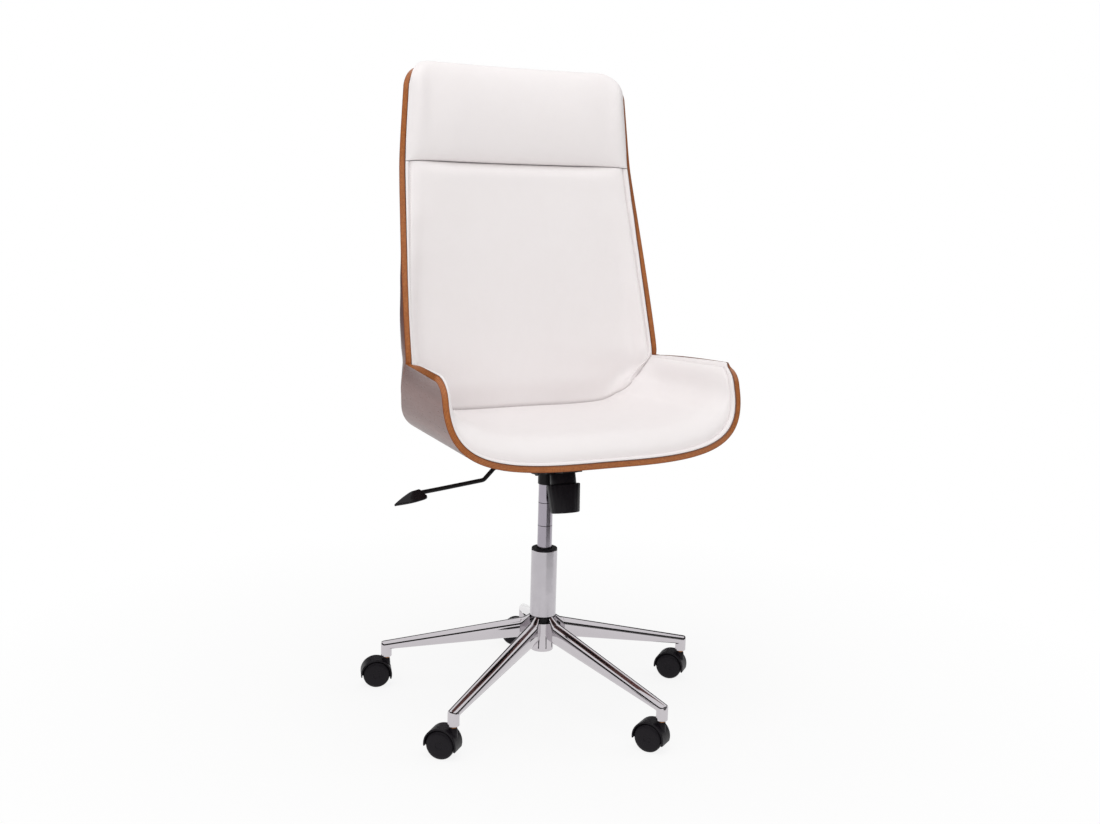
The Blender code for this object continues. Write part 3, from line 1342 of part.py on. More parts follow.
def top_z(s):
    """Top edge of the back shell, with round corners."""
    edge = edge_x(BACK_TOP_Z)
    x = abs(back_point(s, BACK_TOP_Z).x)
    past = x - (edge - BACK_CORNER)
    if past <= 0:
        return BACK_TOP_Z
    return BACK_TOP_Z - BACK_CORNER + math.sqrt(max(0.0, BACK_CORNER ** 2 - past ** 2))


# Shell solids

def mirrored(half):
    """A whole row from its half at +x, which starts in the middle."""
    return [Vector((-p.x, p.y, p.z)) for p in reversed(half[1:])] + half


def layered(name, lower, upper, finish_material, smooth_angle=35.0):
    """A closed solid between two grids of the same size."""
    bm = bmesh.new()
    rows, columns = len(lower), len(lower[0])
    sheets = [[[bm.verts.new(p) for p in row] for row in grid] for grid in (lower, upper)]
    for sheet in sheets:
        for r in range(rows - 1):
            for c in range(columns - 1):
                bm.faces.new((sheet[r][c], sheet[r][c + 1], sheet[r + 1][c + 1], sheet[r + 1][c]))
    rim = [(0, c) for c in range(columns)] + [(r, columns - 1) for r in range(1, rows)]
    rim += [(rows - 1, c) for c in range(columns - 2, -1, -1)] + [(r, 0) for r in range(rows - 2, 0, -1)]
    for (r0, c0), (r1, c1) in zip(rim, rim[1:] + rim[:1]):
        low0, low1 = sheets[0][r0][c0], sheets[0][r1][c1]
        high0, high1 = sheets[1][r0][c0], sheets[1][r1][c1]
        if (low0.co - high1.co).length < (low1.co - high0.co).length:
            faces = ((low0, low1, high1), (low0, high1, high0))
        else:
            faces = ((low0, low1, high0), (low1, high1, high0))
        for corners in faces:
            bm.faces.new(corners)
    return finish(name, bm, finish_material, smooth_angle)


def grid_point(grid, row, column):
    """Bilinear point of a grid at fractional indices."""
    r = min(int(row), len(grid) - 2)
    c = min(int(column), len(grid[0]) - 2)
    low = grid[r][c].lerp(grid[r][c + 1], column - c)
    high = grid[r + 1][c].lerp(grid[r + 1][c + 1], column - c)
    return low.lerp(high, row - r)


def mitre_of(first, second):
    """Offset direction that keeps one unit from two faces at once."""
    return (first + second) / (1.0 + first.dot(second))


SEAM_RISES = (
    mix(CORNER_HEIGHT, WING_HEIGHT - BORDER, 0.40),
    mix(CORNER_HEIGHT, WING_HEIGHT - BORDER, 0.73),
    WING_HEIGHT - BORDER,
    WING_HEIGHT,
)


def seam_line():
    """Seam from the middle to the wing's top: outer point, both inward normals, front point."""
    marks = [(s, foot_z(s)) for s in BACK_COLUMNS]
    marks += [(1.0, SEAT_Z + rise) for rise in SEAM_RISES]
    rear = [back_point(s, z) for s, z in marks]
    front = []
    for p in rear:
        x = min(p.x / REAR_SHARE, section_x(p.z)) if p.z > SEAT_Z + CORNER_HEIGHT else p.x / REAR_SHARE
        front.append(Vector((x, seat_front_y(p.z), p.z)))
    line = []
    last = len(marks) - 1
    for k, (s, z) in enumerate(marks):
        before = rear[k - 1] if k else Vector((-rear[1].x, rear[1].y, rear[1].z))
        along = rear[min(k + 1, last)] - before
        seat_normal = along.cross(rear[k] - front[k]).normalized()
        line.append((rear[k], seat_normal, back_normal(s, z), front[k]))
    return line


def junction(seat_normal, back_normal_here, rise):
    """Where the two pads meet, from the inner seam."""
    reach = mix(JUNCTION_MIDDLE, JUNCTION_CORNER, ease(0.0, CORNER_HEIGHT / 3, rise))
    reach = mix(reach, JUNCTION_SIDE, ease(CORNER_HEIGHT / 2, WING_HEIGHT, rise))
    bias = (seat_normal - back_normal_here) * JUNCTION_BIAS
    return mitre_of(seat_normal, back_normal_here) * reach + bias


def seat_frame():
    """Columns of the seat's half: front, rear outer and rear inner points, pad junction and pad base."""
    columns = []
    for rear, seat_n, back_n, front in seam_line():
        inner = rear + mitre_of(seat_n, back_n) * PLY
        join = rear + mitre_of(seat_n, back_n) * (PLY + PAD_GAP) + junction(seat_n, back_n, rear.z - SEAT_Z)
        columns.append([front, rear, inner, join, rear + mitre_of(seat_n, back_n) * (PLY + PAD_GAP)])
    below, above = columns[-2], columns[-1]
    extra_z = WAIST_Z - (WAIST_Z - below[1].z) * CORNER_SPLIT
    t = (extra_z - below[1].z) / (above[1].z - below[1].z)
    extra = [a.lerp(b, t) for a, b in zip(below, above)]
    extra[0] = Vector((section_x(extra_z), seat_front_y(extra_z), extra_z))
    columns.insert(-1, extra)
    return columns


def seat_grids(columns):
    """Outer and inner grids of the seat shell, half at +x, rows from the front to the seam."""
    back_off = Vector((0.0, -SEAM, 0.0))
    outer, inner = [], []
    for row in range(SEAT_ROWS + 1):
        v = row / SEAT_ROWS
        line = [column[0].lerp(column[1] + back_off, v) for column in columns]
        outer.append(line)
        inner_line = []
        for k, p in enumerate(line):
            before = line[k - 1] if k else Vector((-line[1].x, line[1].y, line[1].z))
            after = line[min(k + 1, len(line) - 1)]
            ruling = columns[k][1] - columns[k][0]
            normal = (after - before).cross(ruling).normalized()
            inner_line.append(columns[k][2] + back_off if row == SEAT_ROWS else p + normal * PLY)
        inner.append(inner_line)
    return outer, inner


def build_seat_shell(columns):
    """Seat shell with holes for the plate's bolts."""
    outer, inner = seat_grids(columns)
    shell = layered("seat_shell", [mirrored(row) for row in outer], [mirrored(row) for row in inner], WALNUT)

    cut_bolt_holes(shell, "plate_bolt")
    return inner


def back_rows():
    """Row functions of the back shell: each gives z for a column."""
    corner = SEAT_Z + CORNER_HEIGHT
    shares = [0.0] + [(SEAT_Z + rise - corner) / (HEAD_Z - corner) for rise in SEAM_RISES]
    wing = shares[-1]
    shares += [mix(wing, 1.0, (i + 1) / BACK_ROWS) for i in range(BACK_ROWS)]
    return shares, [(i + 1) / HEAD_ROWS for i in range(HEAD_ROWS)]


def back_grids():
    """Outer and inner grids and inward normals of the back shell, half at +x, rows upwards."""
    seam = seam_line()
    lower, upper = back_rows()
    count = len(BACK_COLUMNS)
    outer, inner, normals = [], [], []
    for row in range(len(lower) + len(upper)):
        outer_row, inner_row, normal_row = [], [], []
        for k, s in enumerate(BACK_COLUMNS):
            foot = foot_z(s)
            if row < len(lower):
                z = mix(foot, HEAD_Z, lower[row])
            else:
                z = mix(HEAD_Z, top_z(s), upper[row - len(lower)])
            p = back_point(s, z)
            normal = back_normal(s, z)
            direction = normal
            if row == 0:
                direction = mitre_of(seam[k][1], seam[k][2])
            elif k == count - 1 and row <= len(SEAM_RISES):
                direction = mitre_of(seam[k + row][1], seam[k + row][2])
            outer_row.append(p)
            inner_row.append(p + direction * PLY)
            normal_row.append(direction)
        outer.append(outer_row)
        inner.append(inner_row)
        normals.append(normal_row)
    return outer, inner, normals


def build_back_shell():
    """Back shell with holes for the strap's bolts."""
    outer, inner, normals = back_grids()
    shell = layered("back_shell", [mirrored(row) for row in outer], [mirrored(row) for row in inner], WALNUT)

    cut_bolt_holes(shell, "strap_bolt")
    return inner, normals


# Pads

def roll(distance, length):
    """Quarter-round rise from 0 to 1 over a length."""
    t = clamp(distance / length, 0.0, 1.0)
    return math.sqrt(1.0 - (1.0 - t) ** 2)


def column_at(row_points, distance):
    """Fractional column at a distance from a row's outer end."""
    walked = 0.0
    for k in range(len(row_points) - 1, 0, -1):
        step = (row_points[k] - row_points[k - 1]).length
        if walked + step >= distance:
            return k - (distance - walked) / step
        walked += step
    return 0.0


def build_seat_pad(columns, inner):
    """Seat pad: thin border, stitched line, then a crown; its rear face meets the back pad."""
    count = len(columns)
    last_bottom = len(BACK_COLUMNS) - 1
    picks = [float(k) for k in range(last_bottom - 3)] + [last_bottom - 1.6]
    picks += [float(k) for k in range(last_bottom, count - 2)]
    rim_share = 1.0 - PAD_INSET / (WAIST_Z - columns[-2][1].z)
    picks.append(count - 2 + max(0.0, rim_share))
    distances = [PAD_INSET, BORDER, BORDER + SEAT_PAD_ROLL * 0.15, BORDER + SEAT_PAD_ROLL * 0.45,
                 BORDER + SEAT_PAD_ROLL]
    shares = [0.36, 0.50, 0.64, 0.78, 0.90]
    lower, upper = [], []
    for row in range(len(distances) + len(shares) + 1):
        low_row, high_row = [], []
        for pick in picks:
            rear_end = grid_point(inner, SEAT_ROWS, pick)
            front_end = grid_point(inner, 0.0, pick)
            length = (rear_end - front_end).length
            if row < len(distances):
                v = distances[row] / length
            else:
                v = (shares + [1.0])[row - len(distances)]
            p = grid_point(inner, v * SEAT_ROWS, pick)
            left = grid_point(inner, v * SEAT_ROWS, max(pick - 0.5, 0.0))
            right = grid_point(inner, v * SEAT_ROWS, min(pick + 0.5, count - 1.0))
            if pick == 0.0:
                left = Vector((-right.x, right.y, right.z))
            normal = (right - left).cross(rear_end - front_end).normalized()
            rise = front_end.z - SEAT_Z
            full = mix(SEAT_PAD, WING_PAD, ease(CORNER_HEIGHT / 3, WING_HEIGHT * 0.8, rise))
            from_front = roll(v * length - BORDER, SEAT_PAD_ROLL)
            from_top = roll(WAIST_Z - BORDER - front_end.z, SEAT_PAD_ROLL / 2)
            height = mix(BORDER_THICKNESS, full, min(from_front, 1.0) * from_top)
            base = p + normal * (2 * PAD_GAP if pick == picks[-1] else PAD_GAP)
            top = base + normal * height
            if v == 1.0:
                k = min(int(pick), count - 2)
                off = Vector((0.0, -PAD_SEAM, 0.0))
                top = columns[k][3].lerp(columns[k + 1][3], pick - k) + off
                base = columns[k][4].lerp(columns[k + 1][4], pick - k) + off
            low_row.append(base)
            high_row.append(top)
        lower.append(mirrored(low_row))
        upper.append(mirrored(high_row))
    layered("seat_pad", lower, upper, LEATHERETTE, 50.0)


def row_at(grid, pick, height):
    """Fractional row at which a column of a grid reaches a height."""
    heights = [grid_point(grid, float(r), pick).z for r in range(len(grid))]
    for r, (low, high) in enumerate(zip(heights, heights[1:])):
        if height <= high:
            return r + clamp((height - low) / (high - low), 0.0, 1.0)
    return len(grid) - 1.0


def back_pad_height(rise_to_head, share):
    """Thickness of the back pad below the headrest's seam, thinner on the side walls."""
    middle = BACK_PAD * roll(rise_to_head + BORDER / 3, BORDER * 2.5)
    return mix(middle, min(BACK_PAD_SIDE, middle), ease(0.42, 0.62, share))


def build_back_pad(columns, inner, normals):
    """Back pad from its junction with the seat pad up to the headrest's seam."""
    lower_shares, _ = back_rows()
    head_row = len(lower_shares) - 1
    seam_count = len(SEAM_RISES)
    last = len(BACK_COLUMNS) - 1
    rows = [float(r) for r in range(head_row)]
    rows += [head_row - 0.65, head_row - 0.22, head_row - 0.02]
    joins = [column[3] for column in columns[:-2] + columns[-1:]]
    bases = [column[4] for column in columns[:-2] + columns[-1:]]
    lower, upper = [], []
    for row in rows:
        line = [grid_point(inner, row, float(k)) for k in range(last + 1)]
        picks = [float(k) for k in range(last - 3)]
        if row <= seam_count:
            picks += [last - 1.6, float(last)]
        else:
            picks += [column_at(line, BORDER), column_at(line, PAD_INSET)]
        low_row, high_row = [], []
        for index, pick in enumerate(picks):
            p = grid_point(inner, row, pick)
            normal = grid_point(normals, row, pick).normalized()
            base = p + normal * PAD_GAP
            k = min(int(pick), last - 1)
            join = joins[k].lerp(joins[k + 1], pick - k)
            edge = index == len(picks) - 1
            border = index == len(picks) - 2
            if row == 0:
                top = join
                base = bases[k].lerp(bases[k + 1], pick - k)
            elif row <= seam_count and edge:
                top = joins[last + int(row)]
                base = bases[last + int(row)]
            elif edge or border and row > seam_count:
                top = base + normal * BORDER_THICKNESS
            else:
                foot = grid_point(inner, 0.0, pick).z
                height = mix(join.z, HEAD_Z, (p.z - foot) / (HEAD_Z - foot))
                at = row_at(inner, pick, height)
                p = grid_point(inner, at, pick)
                normal = grid_point(normals, at, pick).normalized()
                top = p + normal * (PAD_GAP + back_pad_height(HEAD_Z - p.z, pick / last))
            low_row.append(base)
            high_row.append(top)
        lower.append(mirrored(low_row))
        upper.append(mirrored(high_row))
    layered("back_pad", lower, upper, LEATHERETTE, 50.0)


def build_headrest(inner, normals):
    """Puffed roll in front of the shell's upper part, proud of its top edge."""
    lower_shares, upper_shares = back_rows()
    head_row = len(lower_shares) - 1
    last_row = head_row + len(upper_shares)
    last = len(BACK_COLUMNS) - 1
    steps = 10
    lower, upper = [], []
    for step in range(steps + 1):
        t = step / steps
        row = mix(head_row + 0.03, last_row - 0.04, 0.5 - 0.5 * math.cos(math.pi * t))
        line = [grid_point(inner, row, float(k)) for k in range(last + 1)]
        picks = [float(k) for k in range(last - 3)] + [column_at(line, BORDER), column_at(line, PAD_INSET)]
        low_row, high_row = [], []
        for index, pick in enumerate(picks):
            p = grid_point(inner, row, pick)
            normal = grid_point(normals, row, pick).normalized()
            share = pick / last
            depth = mix(HEAD_PAD, HEAD_PAD_SIDE, ease(0.3, 0.9, share))
            swell = 0.16 + 0.84 * math.sin(math.pi * t) ** 0.55
            if index == len(picks) - 1:
                depth *= 0.30
            elif index == len(picks) - 2:
                depth *= 0.85
            base = p + normal * PAD_GAP
            rise = HEAD_PAD_RISE * ease(0.55, 1.0, t) * math.cos(math.pi / 2 * min(1.0, share)) ** 0.35
            top = base + normal * (depth * swell) + Vector((0.0, 0.0, rise))
            low_row.append(base)
            high_row.append(top)
        lower.append(mirrored(low_row))
        upper.append(mirrored(high_row))
    layered("headrest_pad", lower, upper, LEATHERETTE, 50.0)


# Whole chair

def lift_origins():
    """Put the origin of each moving piece on its joint's axis."""
    for name in ("seat_plate", "seat_shell", "back_shell", "seat_pad", "back_pad", "headrest_pad",
                 "plate_bolt_left", "plate_bolt_right", "strap_bolt_left", "strap_bolt_right"):
        set_origin(bpy.data.objects[name], PIVOT)
    set_origin(bpy.data.objects["tension_knob"], KNOB_TOP)
    for name in ("lift_rocker", "lever_paddle"):
        set_origin(bpy.data.objects[name], ROCKER_PIVOT)


def main():
    build_casters()
    build_base()
    build_lift()
    build_bracket()
    build_pins()
    build_tension()
    build_lever()
    build_plate()
    build_bolts()
    columns = seat_frame()
    seat_inner = build_seat_shell(columns)
    back_inner, back_normals = build_back_shell()
    build_seat_pad(columns, seat_inner)
    build_back_pad(columns, back_inner, back_normals)
    build_headrest(back_inner, back_normals)
    lift_origins()


main()
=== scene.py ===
"""Looks of an office chair: walnut ply shells, white pads, tilt mechanism, gas lift and chromed base.

Metres, +Z up. The floor is z = 0, the lift column stands on the Z axis and the chair faces -Y. Each class
below is one sub-assembly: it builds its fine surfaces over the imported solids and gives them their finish.
"""

import json
import logging
import math
from bisect import bisect_left
from dataclasses import dataclass, field
from enum import Enum
from typing import Callable, Iterable, Optional, Sequence, TypeVar

import bmesh
import bpy
from bpy.types import Material, Node, NodeOutputs, NodeSocket, NodeTree, Object
from mathutils import Matrix, Vector

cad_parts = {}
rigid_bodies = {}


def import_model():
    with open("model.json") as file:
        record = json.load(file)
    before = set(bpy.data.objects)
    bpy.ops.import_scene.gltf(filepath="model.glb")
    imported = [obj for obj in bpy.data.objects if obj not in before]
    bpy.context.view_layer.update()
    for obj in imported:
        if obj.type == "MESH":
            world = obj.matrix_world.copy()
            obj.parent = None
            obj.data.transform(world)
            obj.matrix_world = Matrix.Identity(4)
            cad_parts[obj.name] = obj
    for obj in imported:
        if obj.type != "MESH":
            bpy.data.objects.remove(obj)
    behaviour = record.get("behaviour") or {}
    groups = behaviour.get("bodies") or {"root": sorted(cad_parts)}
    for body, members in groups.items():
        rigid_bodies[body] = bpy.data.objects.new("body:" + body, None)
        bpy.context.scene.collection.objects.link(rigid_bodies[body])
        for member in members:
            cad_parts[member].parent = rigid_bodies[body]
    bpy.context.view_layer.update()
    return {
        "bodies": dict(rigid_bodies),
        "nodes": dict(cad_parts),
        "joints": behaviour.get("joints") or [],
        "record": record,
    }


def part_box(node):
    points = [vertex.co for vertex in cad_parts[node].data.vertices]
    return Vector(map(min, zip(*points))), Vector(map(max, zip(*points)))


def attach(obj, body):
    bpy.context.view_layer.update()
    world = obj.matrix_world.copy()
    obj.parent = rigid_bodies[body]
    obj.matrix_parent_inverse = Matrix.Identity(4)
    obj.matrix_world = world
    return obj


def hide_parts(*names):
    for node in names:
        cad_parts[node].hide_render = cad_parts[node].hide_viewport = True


logging.basicConfig(level=logging.INFO, format="%(message)s")
LOG = logging.getLogger("office_chair")

Grid = list[list[Vector]]
Rows = tuple[list[Vector], list[Vector]]
Spot = tuple[Vector, Vector]
Profile = Sequence[tuple[float, float]]
Colour = tuple[float, float, float]
Amount = TypeVar("Amount", float, Vector)

# Height of the taper collar under the tilt bracket
COLLAR_HEIGHT = 0.0240
# Azimuth of each leg and heading of its caster, in degrees
LEG_PLACES = {
    "left": (141.96, 252.6),
    "front_left": (213.96, 224.6),
    "front_right": (285.96, 214.4),
    "right": (357.96, 221.9),
    "back": (69.96, 225.0),
}
# Distances from a pad's edge at which its mesh has a line, dense at the rim and at the sewn groove
EDGE_STEPS = (
    0.002, 0.0026, 0.0034, 0.0046, 0.007, 0.0095, 0.0108, 0.0114, 0.0120, 0.0126, 0.0132, 0.0142, 0.0155,
    0.018, 0.0215, 0.026, 0.0315, 0.038,
)


class Slot(Enum):
    """Material slots of the record, from which the imported solids take their finish."""

    LEATHERETTE = "leatherette"
    WALNUT = "walnut_veneer"
    CHROME = "chrome"
    SATIN_STEEL = "satin_steel"
    BLACK_PLASTIC = "black_plastic"
    BLACK_STEEL = "black_steel"
    ZINC_STEEL = "zinc_steel"


# Numbers and curves


def clamp(value: float, low: float, high: float) -> float:
    """Value held between low and high."""
    return max(low, min(high, value))


def mix(a: Amount, b: Amount, t: float) -> Amount:
    """Straight blend from a to b."""
    return a + (b - a) * t


def ease(low: float, high: float, value: float) -> float:
    """0 below low, 1 above high, with level ends."""
    t = clamp((value - low) / (high - low), 0.0, 1.0)
    return t * t * (3.0 - 2.0 * t)


def roll(distance: float, length: float) -> float:
    """Quarter-round rise from 0 to 1 over a length."""
    t = clamp(distance / length, 0.0, 1.0)
    return math.sqrt(1.0 - (1.0 - t) ** 2)


def soft_max(a: float, b: float, width: float) -> float:
    """The larger of two values, rounded where they cross."""
    return 0.5 * (a + b) + math.sqrt((0.5 * (a - b)) ** 2 + width**2)


def soft_min(a: float, b: float, width: float) -> float:
    """The smaller of two values, rounded where they cross."""
    return -soft_max(-a, -b, width)


def arc_height(radius: float, past: float) -> float:
    """Height of a circle over its centre at a distance from it, 0 outside."""
    return math.sqrt(max(0.0, radius**2 - past**2))


def bezier(p0: Vector, p1: Vector, p2: Vector, p3: Vector, t: float) -> Vector:
    """A point of a cubic curve."""
    u = 1.0 - t
    return p0 * u**3 + p1 * 3 * u * u * t + p2 * 3 * u * t * t + p3 * t**3


def round_angles(count: int) -> list[float]:
    """Even angles once round."""
    return [2 * math.pi * i / count for i in range(count)]


def flipped(p: Vector) -> Vector:
    """A point mirrored to the other side of the chair."""
    return Vector((-p.x, p.y, p.z))


def mirrored(half: Sequence[Vector]) -> list[Vector]:
    """A whole row from its half at +x, which starts in the middle."""
    return [flipped(p) for p in reversed(half[1:])] + list(half)


def chord(line: Sequence[Vector], k: int) -> Vector:
    """Way along a half row at one of its points, with the row mirrored at the middle."""
    return line[min(k + 1, len(line) - 1)] - (line[k - 1] if k else flipped(line[1]))


def path_lengths(path: Sequence[Vector]) -> list[float]:
    """Distance walked at each point of a path.

    Args:
        path: its points.

    Returns:
        Distances, from 0 to the path's length.
    """
    lengths = [0.0]
    for a, b in zip(path, path[1:]):
        lengths.append(lengths[-1] + (b - a).length)
    return lengths


def index_of(values: Sequence[float], target: float) -> float:
    """Fractional index at which rising values reach a target.

    Args:
        values: the values, which rise.
        target: value looked for.

    Returns:
        The index, held inside the list.
    """
    k = int(clamp(bisect_left(values, target) - 1, 0, len(values) - 2))
    return k + clamp((target - values[k]) / (values[k + 1] - values[k]), 0.0, 1.0)


def part_way(values: Sequence[Amount], index: float) -> Amount:
    """Value of a list at a fractional index."""
    k = min(int(index), len(values) - 2)
    return mix(values[k], values[k + 1], index - k)


def grid_point(grid: Grid, row: float, column: float) -> Vector:
    """Point of a grid at fractional indices."""
    r = min(int(row), len(grid) - 2)
    return mix(part_way(grid[r], column), part_way(grid[r + 1], column), row - r)


# Meshes


def finish_mesh(
    name: str, bm: bmesh.types.BMesh, materials: Sequence[Material], smooth_angle: float = 35.0
) -> Object:
    """Turn a bmesh into a smooth-shaded object.

    Args:
        name: name of the piece.
        bm: its mesh, which is freed.
        materials: material slots in the order of the face indices.
        smooth_angle: degrees above which an edge stays sharp.

    Returns:
        The new object, linked to the scene.
    """
    bmesh.ops.recalc_face_normals(bm, faces=bm.faces)
    mesh = bpy.data.meshes.new(name)
    bm.to_mesh(mesh)
    bm.free()
    mesh.shade_smooth()
    mesh.set_sharp_from_angle(angle=math.radians(smooth_angle))
    for entry in materials:
        mesh.materials.append(entry)
    made = bpy.data.objects.new(name, mesh)
    bpy.context.scene.collection.objects.link(made)
    return made


def ringed(
    name: str,
    material: Material,
    smooth_angle: float,
    bodies: Sequence[Grid] = (),
    loops: Sequence[Grid] = (),
) -> Object:
    """An object of bridged rings of points; a ring of one point is a tip.

    Args:
        name: name of the piece.
        material: its finish.
        smooth_angle: degrees above which an edge stays sharp.
        bodies: runs of rings that are capped at both ends.
        loops: runs of rings whose last ring meets the first one, for a bore.

    Returns:
        The new object.
    """
    bm = bmesh.new()
    for rings, joined in [(run, True) for run in loops] + [(run, False) for run in bodies]:
        made = [[bm.verts.new(p) for p in ring] for ring in rings]
        for low, high in zip(made, made[1:] + made[:1] if joined else made[1:]):
            count = max(len(low), len(high))
            for i in range(count):
                j = (i + 1) % count
                if len(low) == 1:
                    bm.faces.new((low[0], high[i], high[j]))
                elif len(high) == 1:
                    bm.faces.new((low[i], low[j], high[0]))
                else:
                    bm.faces.new((low[i], low[j], high[j], high[i]))
        for ring in () if joined else (made[0], made[-1]):
            if len(ring) > 2:
                bm.faces.new(ring)
    return finish_mesh(name, bm, [material], smooth_angle)


def circle(radius: float, z: float, sides: int, centre: float = 0.0) -> list[Vector]:
    """Level circle round a place on the X axis.

    Args:
        radius: its radius.
        z: its height.
        sides: number of points.
        centre: place on the X axis.

    Returns:
        Its points, or the one point where the radius is 0.
    """
    if radius == 0.0:
        return [Vector((centre, 0.0, z))]
    return [Vector((centre + radius * math.cos(a), radius * math.sin(a), z)) for a in round_angles(sides)]


def bar_ring(centre: Vector, side: Vector, up: Vector, radius: float, sides: int) -> list[Vector]:
    """Ring round a place of a bar, in the plane of two directions."""
    return [centre + (side * math.cos(a) + up * math.sin(a)) * radius for a in round_angles(sides)]


def turned_rings(profile: Profile, sides: int, matrix: Matrix = Matrix()) -> Grid:
    """Rings of (radius, height) points turned about Z and placed."""
    return [[matrix @ p for p in circle(radius, z, sides)] for radius, z in profile]


def turned(
    name: str,
    profile: Profile,
    material: Material,
    matrix: Matrix = Matrix(),
    closed: bool = False,
    sides: int = 72,
    smooth_angle: float = 35.0,
) -> Object:
    """A turned object.

    Args:
        name: name of the piece.
        profile: radius and height of each ring.
        material: its finish.
        matrix: placement of the turned shape.
        closed: join the last ring to the first one, for a bore.
        sides: steps round the axis.
        smooth_angle: degrees above which an edge stays sharp.

    Returns:
        The new object.
    """
    runs = {"loops" if closed else "bodies": [turned_rings(profile, sides, matrix)]}
    return ringed(name, material, smooth_angle, **runs)


def slab(
    name: str, lower: Grid, upper: Grid, materials: Sequence[Material], smooth_angle: float
) -> Object:
    """A closed solid between two mirrored sheets, with its depth kept as an attribute.

    Args:
        name: name of the piece.
        lower: half grid of the outer sheet, depth 0.
        upper: half grid of the inner sheet, depth 1.
        materials: for the lower sheet, the upper sheet and the rim.
        smooth_angle: degrees above which an edge stays sharp.

    Returns:
        The new object.
    """
    bm = bmesh.new()
    depth = bm.verts.layers.float.new("ply_depth")
    sheets = []
    for level, grid in enumerate((lower, upper)):
        sheet = [[bm.verts.new(p) for p in mirrored(row)] for row in grid]
        for row in sheet:
            for vertex in row:
                vertex[depth] = level
        sheets.append(sheet)
    for index, sheet in enumerate(sheets):
        for low, high in zip(sheet, sheet[1:]):
            for c in range(len(low) - 1):
                bm.faces.new((low[c], low[c + 1], high[c + 1], high[c])).material_index = index
    rims = []
    for sheet in sheets:
        sides = [row[-1] for row in sheet[1:]], [row[0] for row in sheet[-2:0:-1]]
        rims.append(sheet[0] + sides[0] + sheet[-1][-2::-1] + sides[1])
    count = len(rims[0])
    for i in range(count):
        j = (i + 1) % count
        bm.faces.new((rims[0][i], rims[0][j], rims[1][j], rims[1][i])).material_index = 2
    return finish_mesh(name, bm, materials, smooth_angle)


def swept_bar(path: Sequence[Vector], radius: float, sides: int) -> Grid:
    """Rings of a round bar along a path, without twist.

    Args:
        path: centre line.
        radius: radius of the bar.
        sides: steps round the bar.

    Returns:
        One ring for each point of the path.
    """
    rings = []
    side = (path[1] - path[0]).normalized().orthogonal().normalized()
    for i, point in enumerate(path):
        way = (path[min(i + 1, len(path) - 1)] - path[max(i - 1, 0)]).normalized()
        side = (side - way * side.dot(way)).normalized()
        rings.append(bar_ring(point, side, way.cross(side), radius, sides))
    return rings


@dataclass(frozen=True)
class Thread:
    """Size and spacing of the sewing stitches."""

    pitch: float = 0.0052
    length: float = 0.0040
    radius: float = 0.00042
    sections: tuple = ((-0.5, 0.25), (-0.38, 0.8), (0.0, 1.0), (0.38, 0.8), (0.5, 0.25))

    def stitch(self, centre: Vector, way: Vector, normal: Vector) -> Grid:
        """Rings of one stitch whose ends dive into the surface.

        Args:
            centre: middle of the stitch.
            way: direction of the seam.
            normal: direction out of the surface.

        Returns:
            The rings from end to end.
        """
        rings = []
        for share, size in self.sections:
            sink = self.radius * 0.9 * abs(2 * share) ** 3
            middle = centre + way * (self.length * share) - normal * sink
            rings.append(bar_ring(middle, normal.cross(way), normal, self.radius * size, 6))
        return rings

    def row(self, path: Sequence[Vector], normals: Sequence[Vector]) -> list[Grid]:
        """Stitches along a path.

        Args:
            path: points of the sewn line.
            normals: surface normal at each point.

        Returns:
            The rings of each stitch.
        """
        lengths = path_lengths(path)
        made = []
        at = self.pitch / 2
        while at < lengths[-1] - self.pitch / 2:
            index = index_of(lengths, at)
            way = (path[int(index) + 1] - path[int(index)]).normalized()
            made.append(self.stitch(part_way(path, index), way, part_way(normals, index).normalized()))
            at += self.pitch
        return made


# Shader nodes


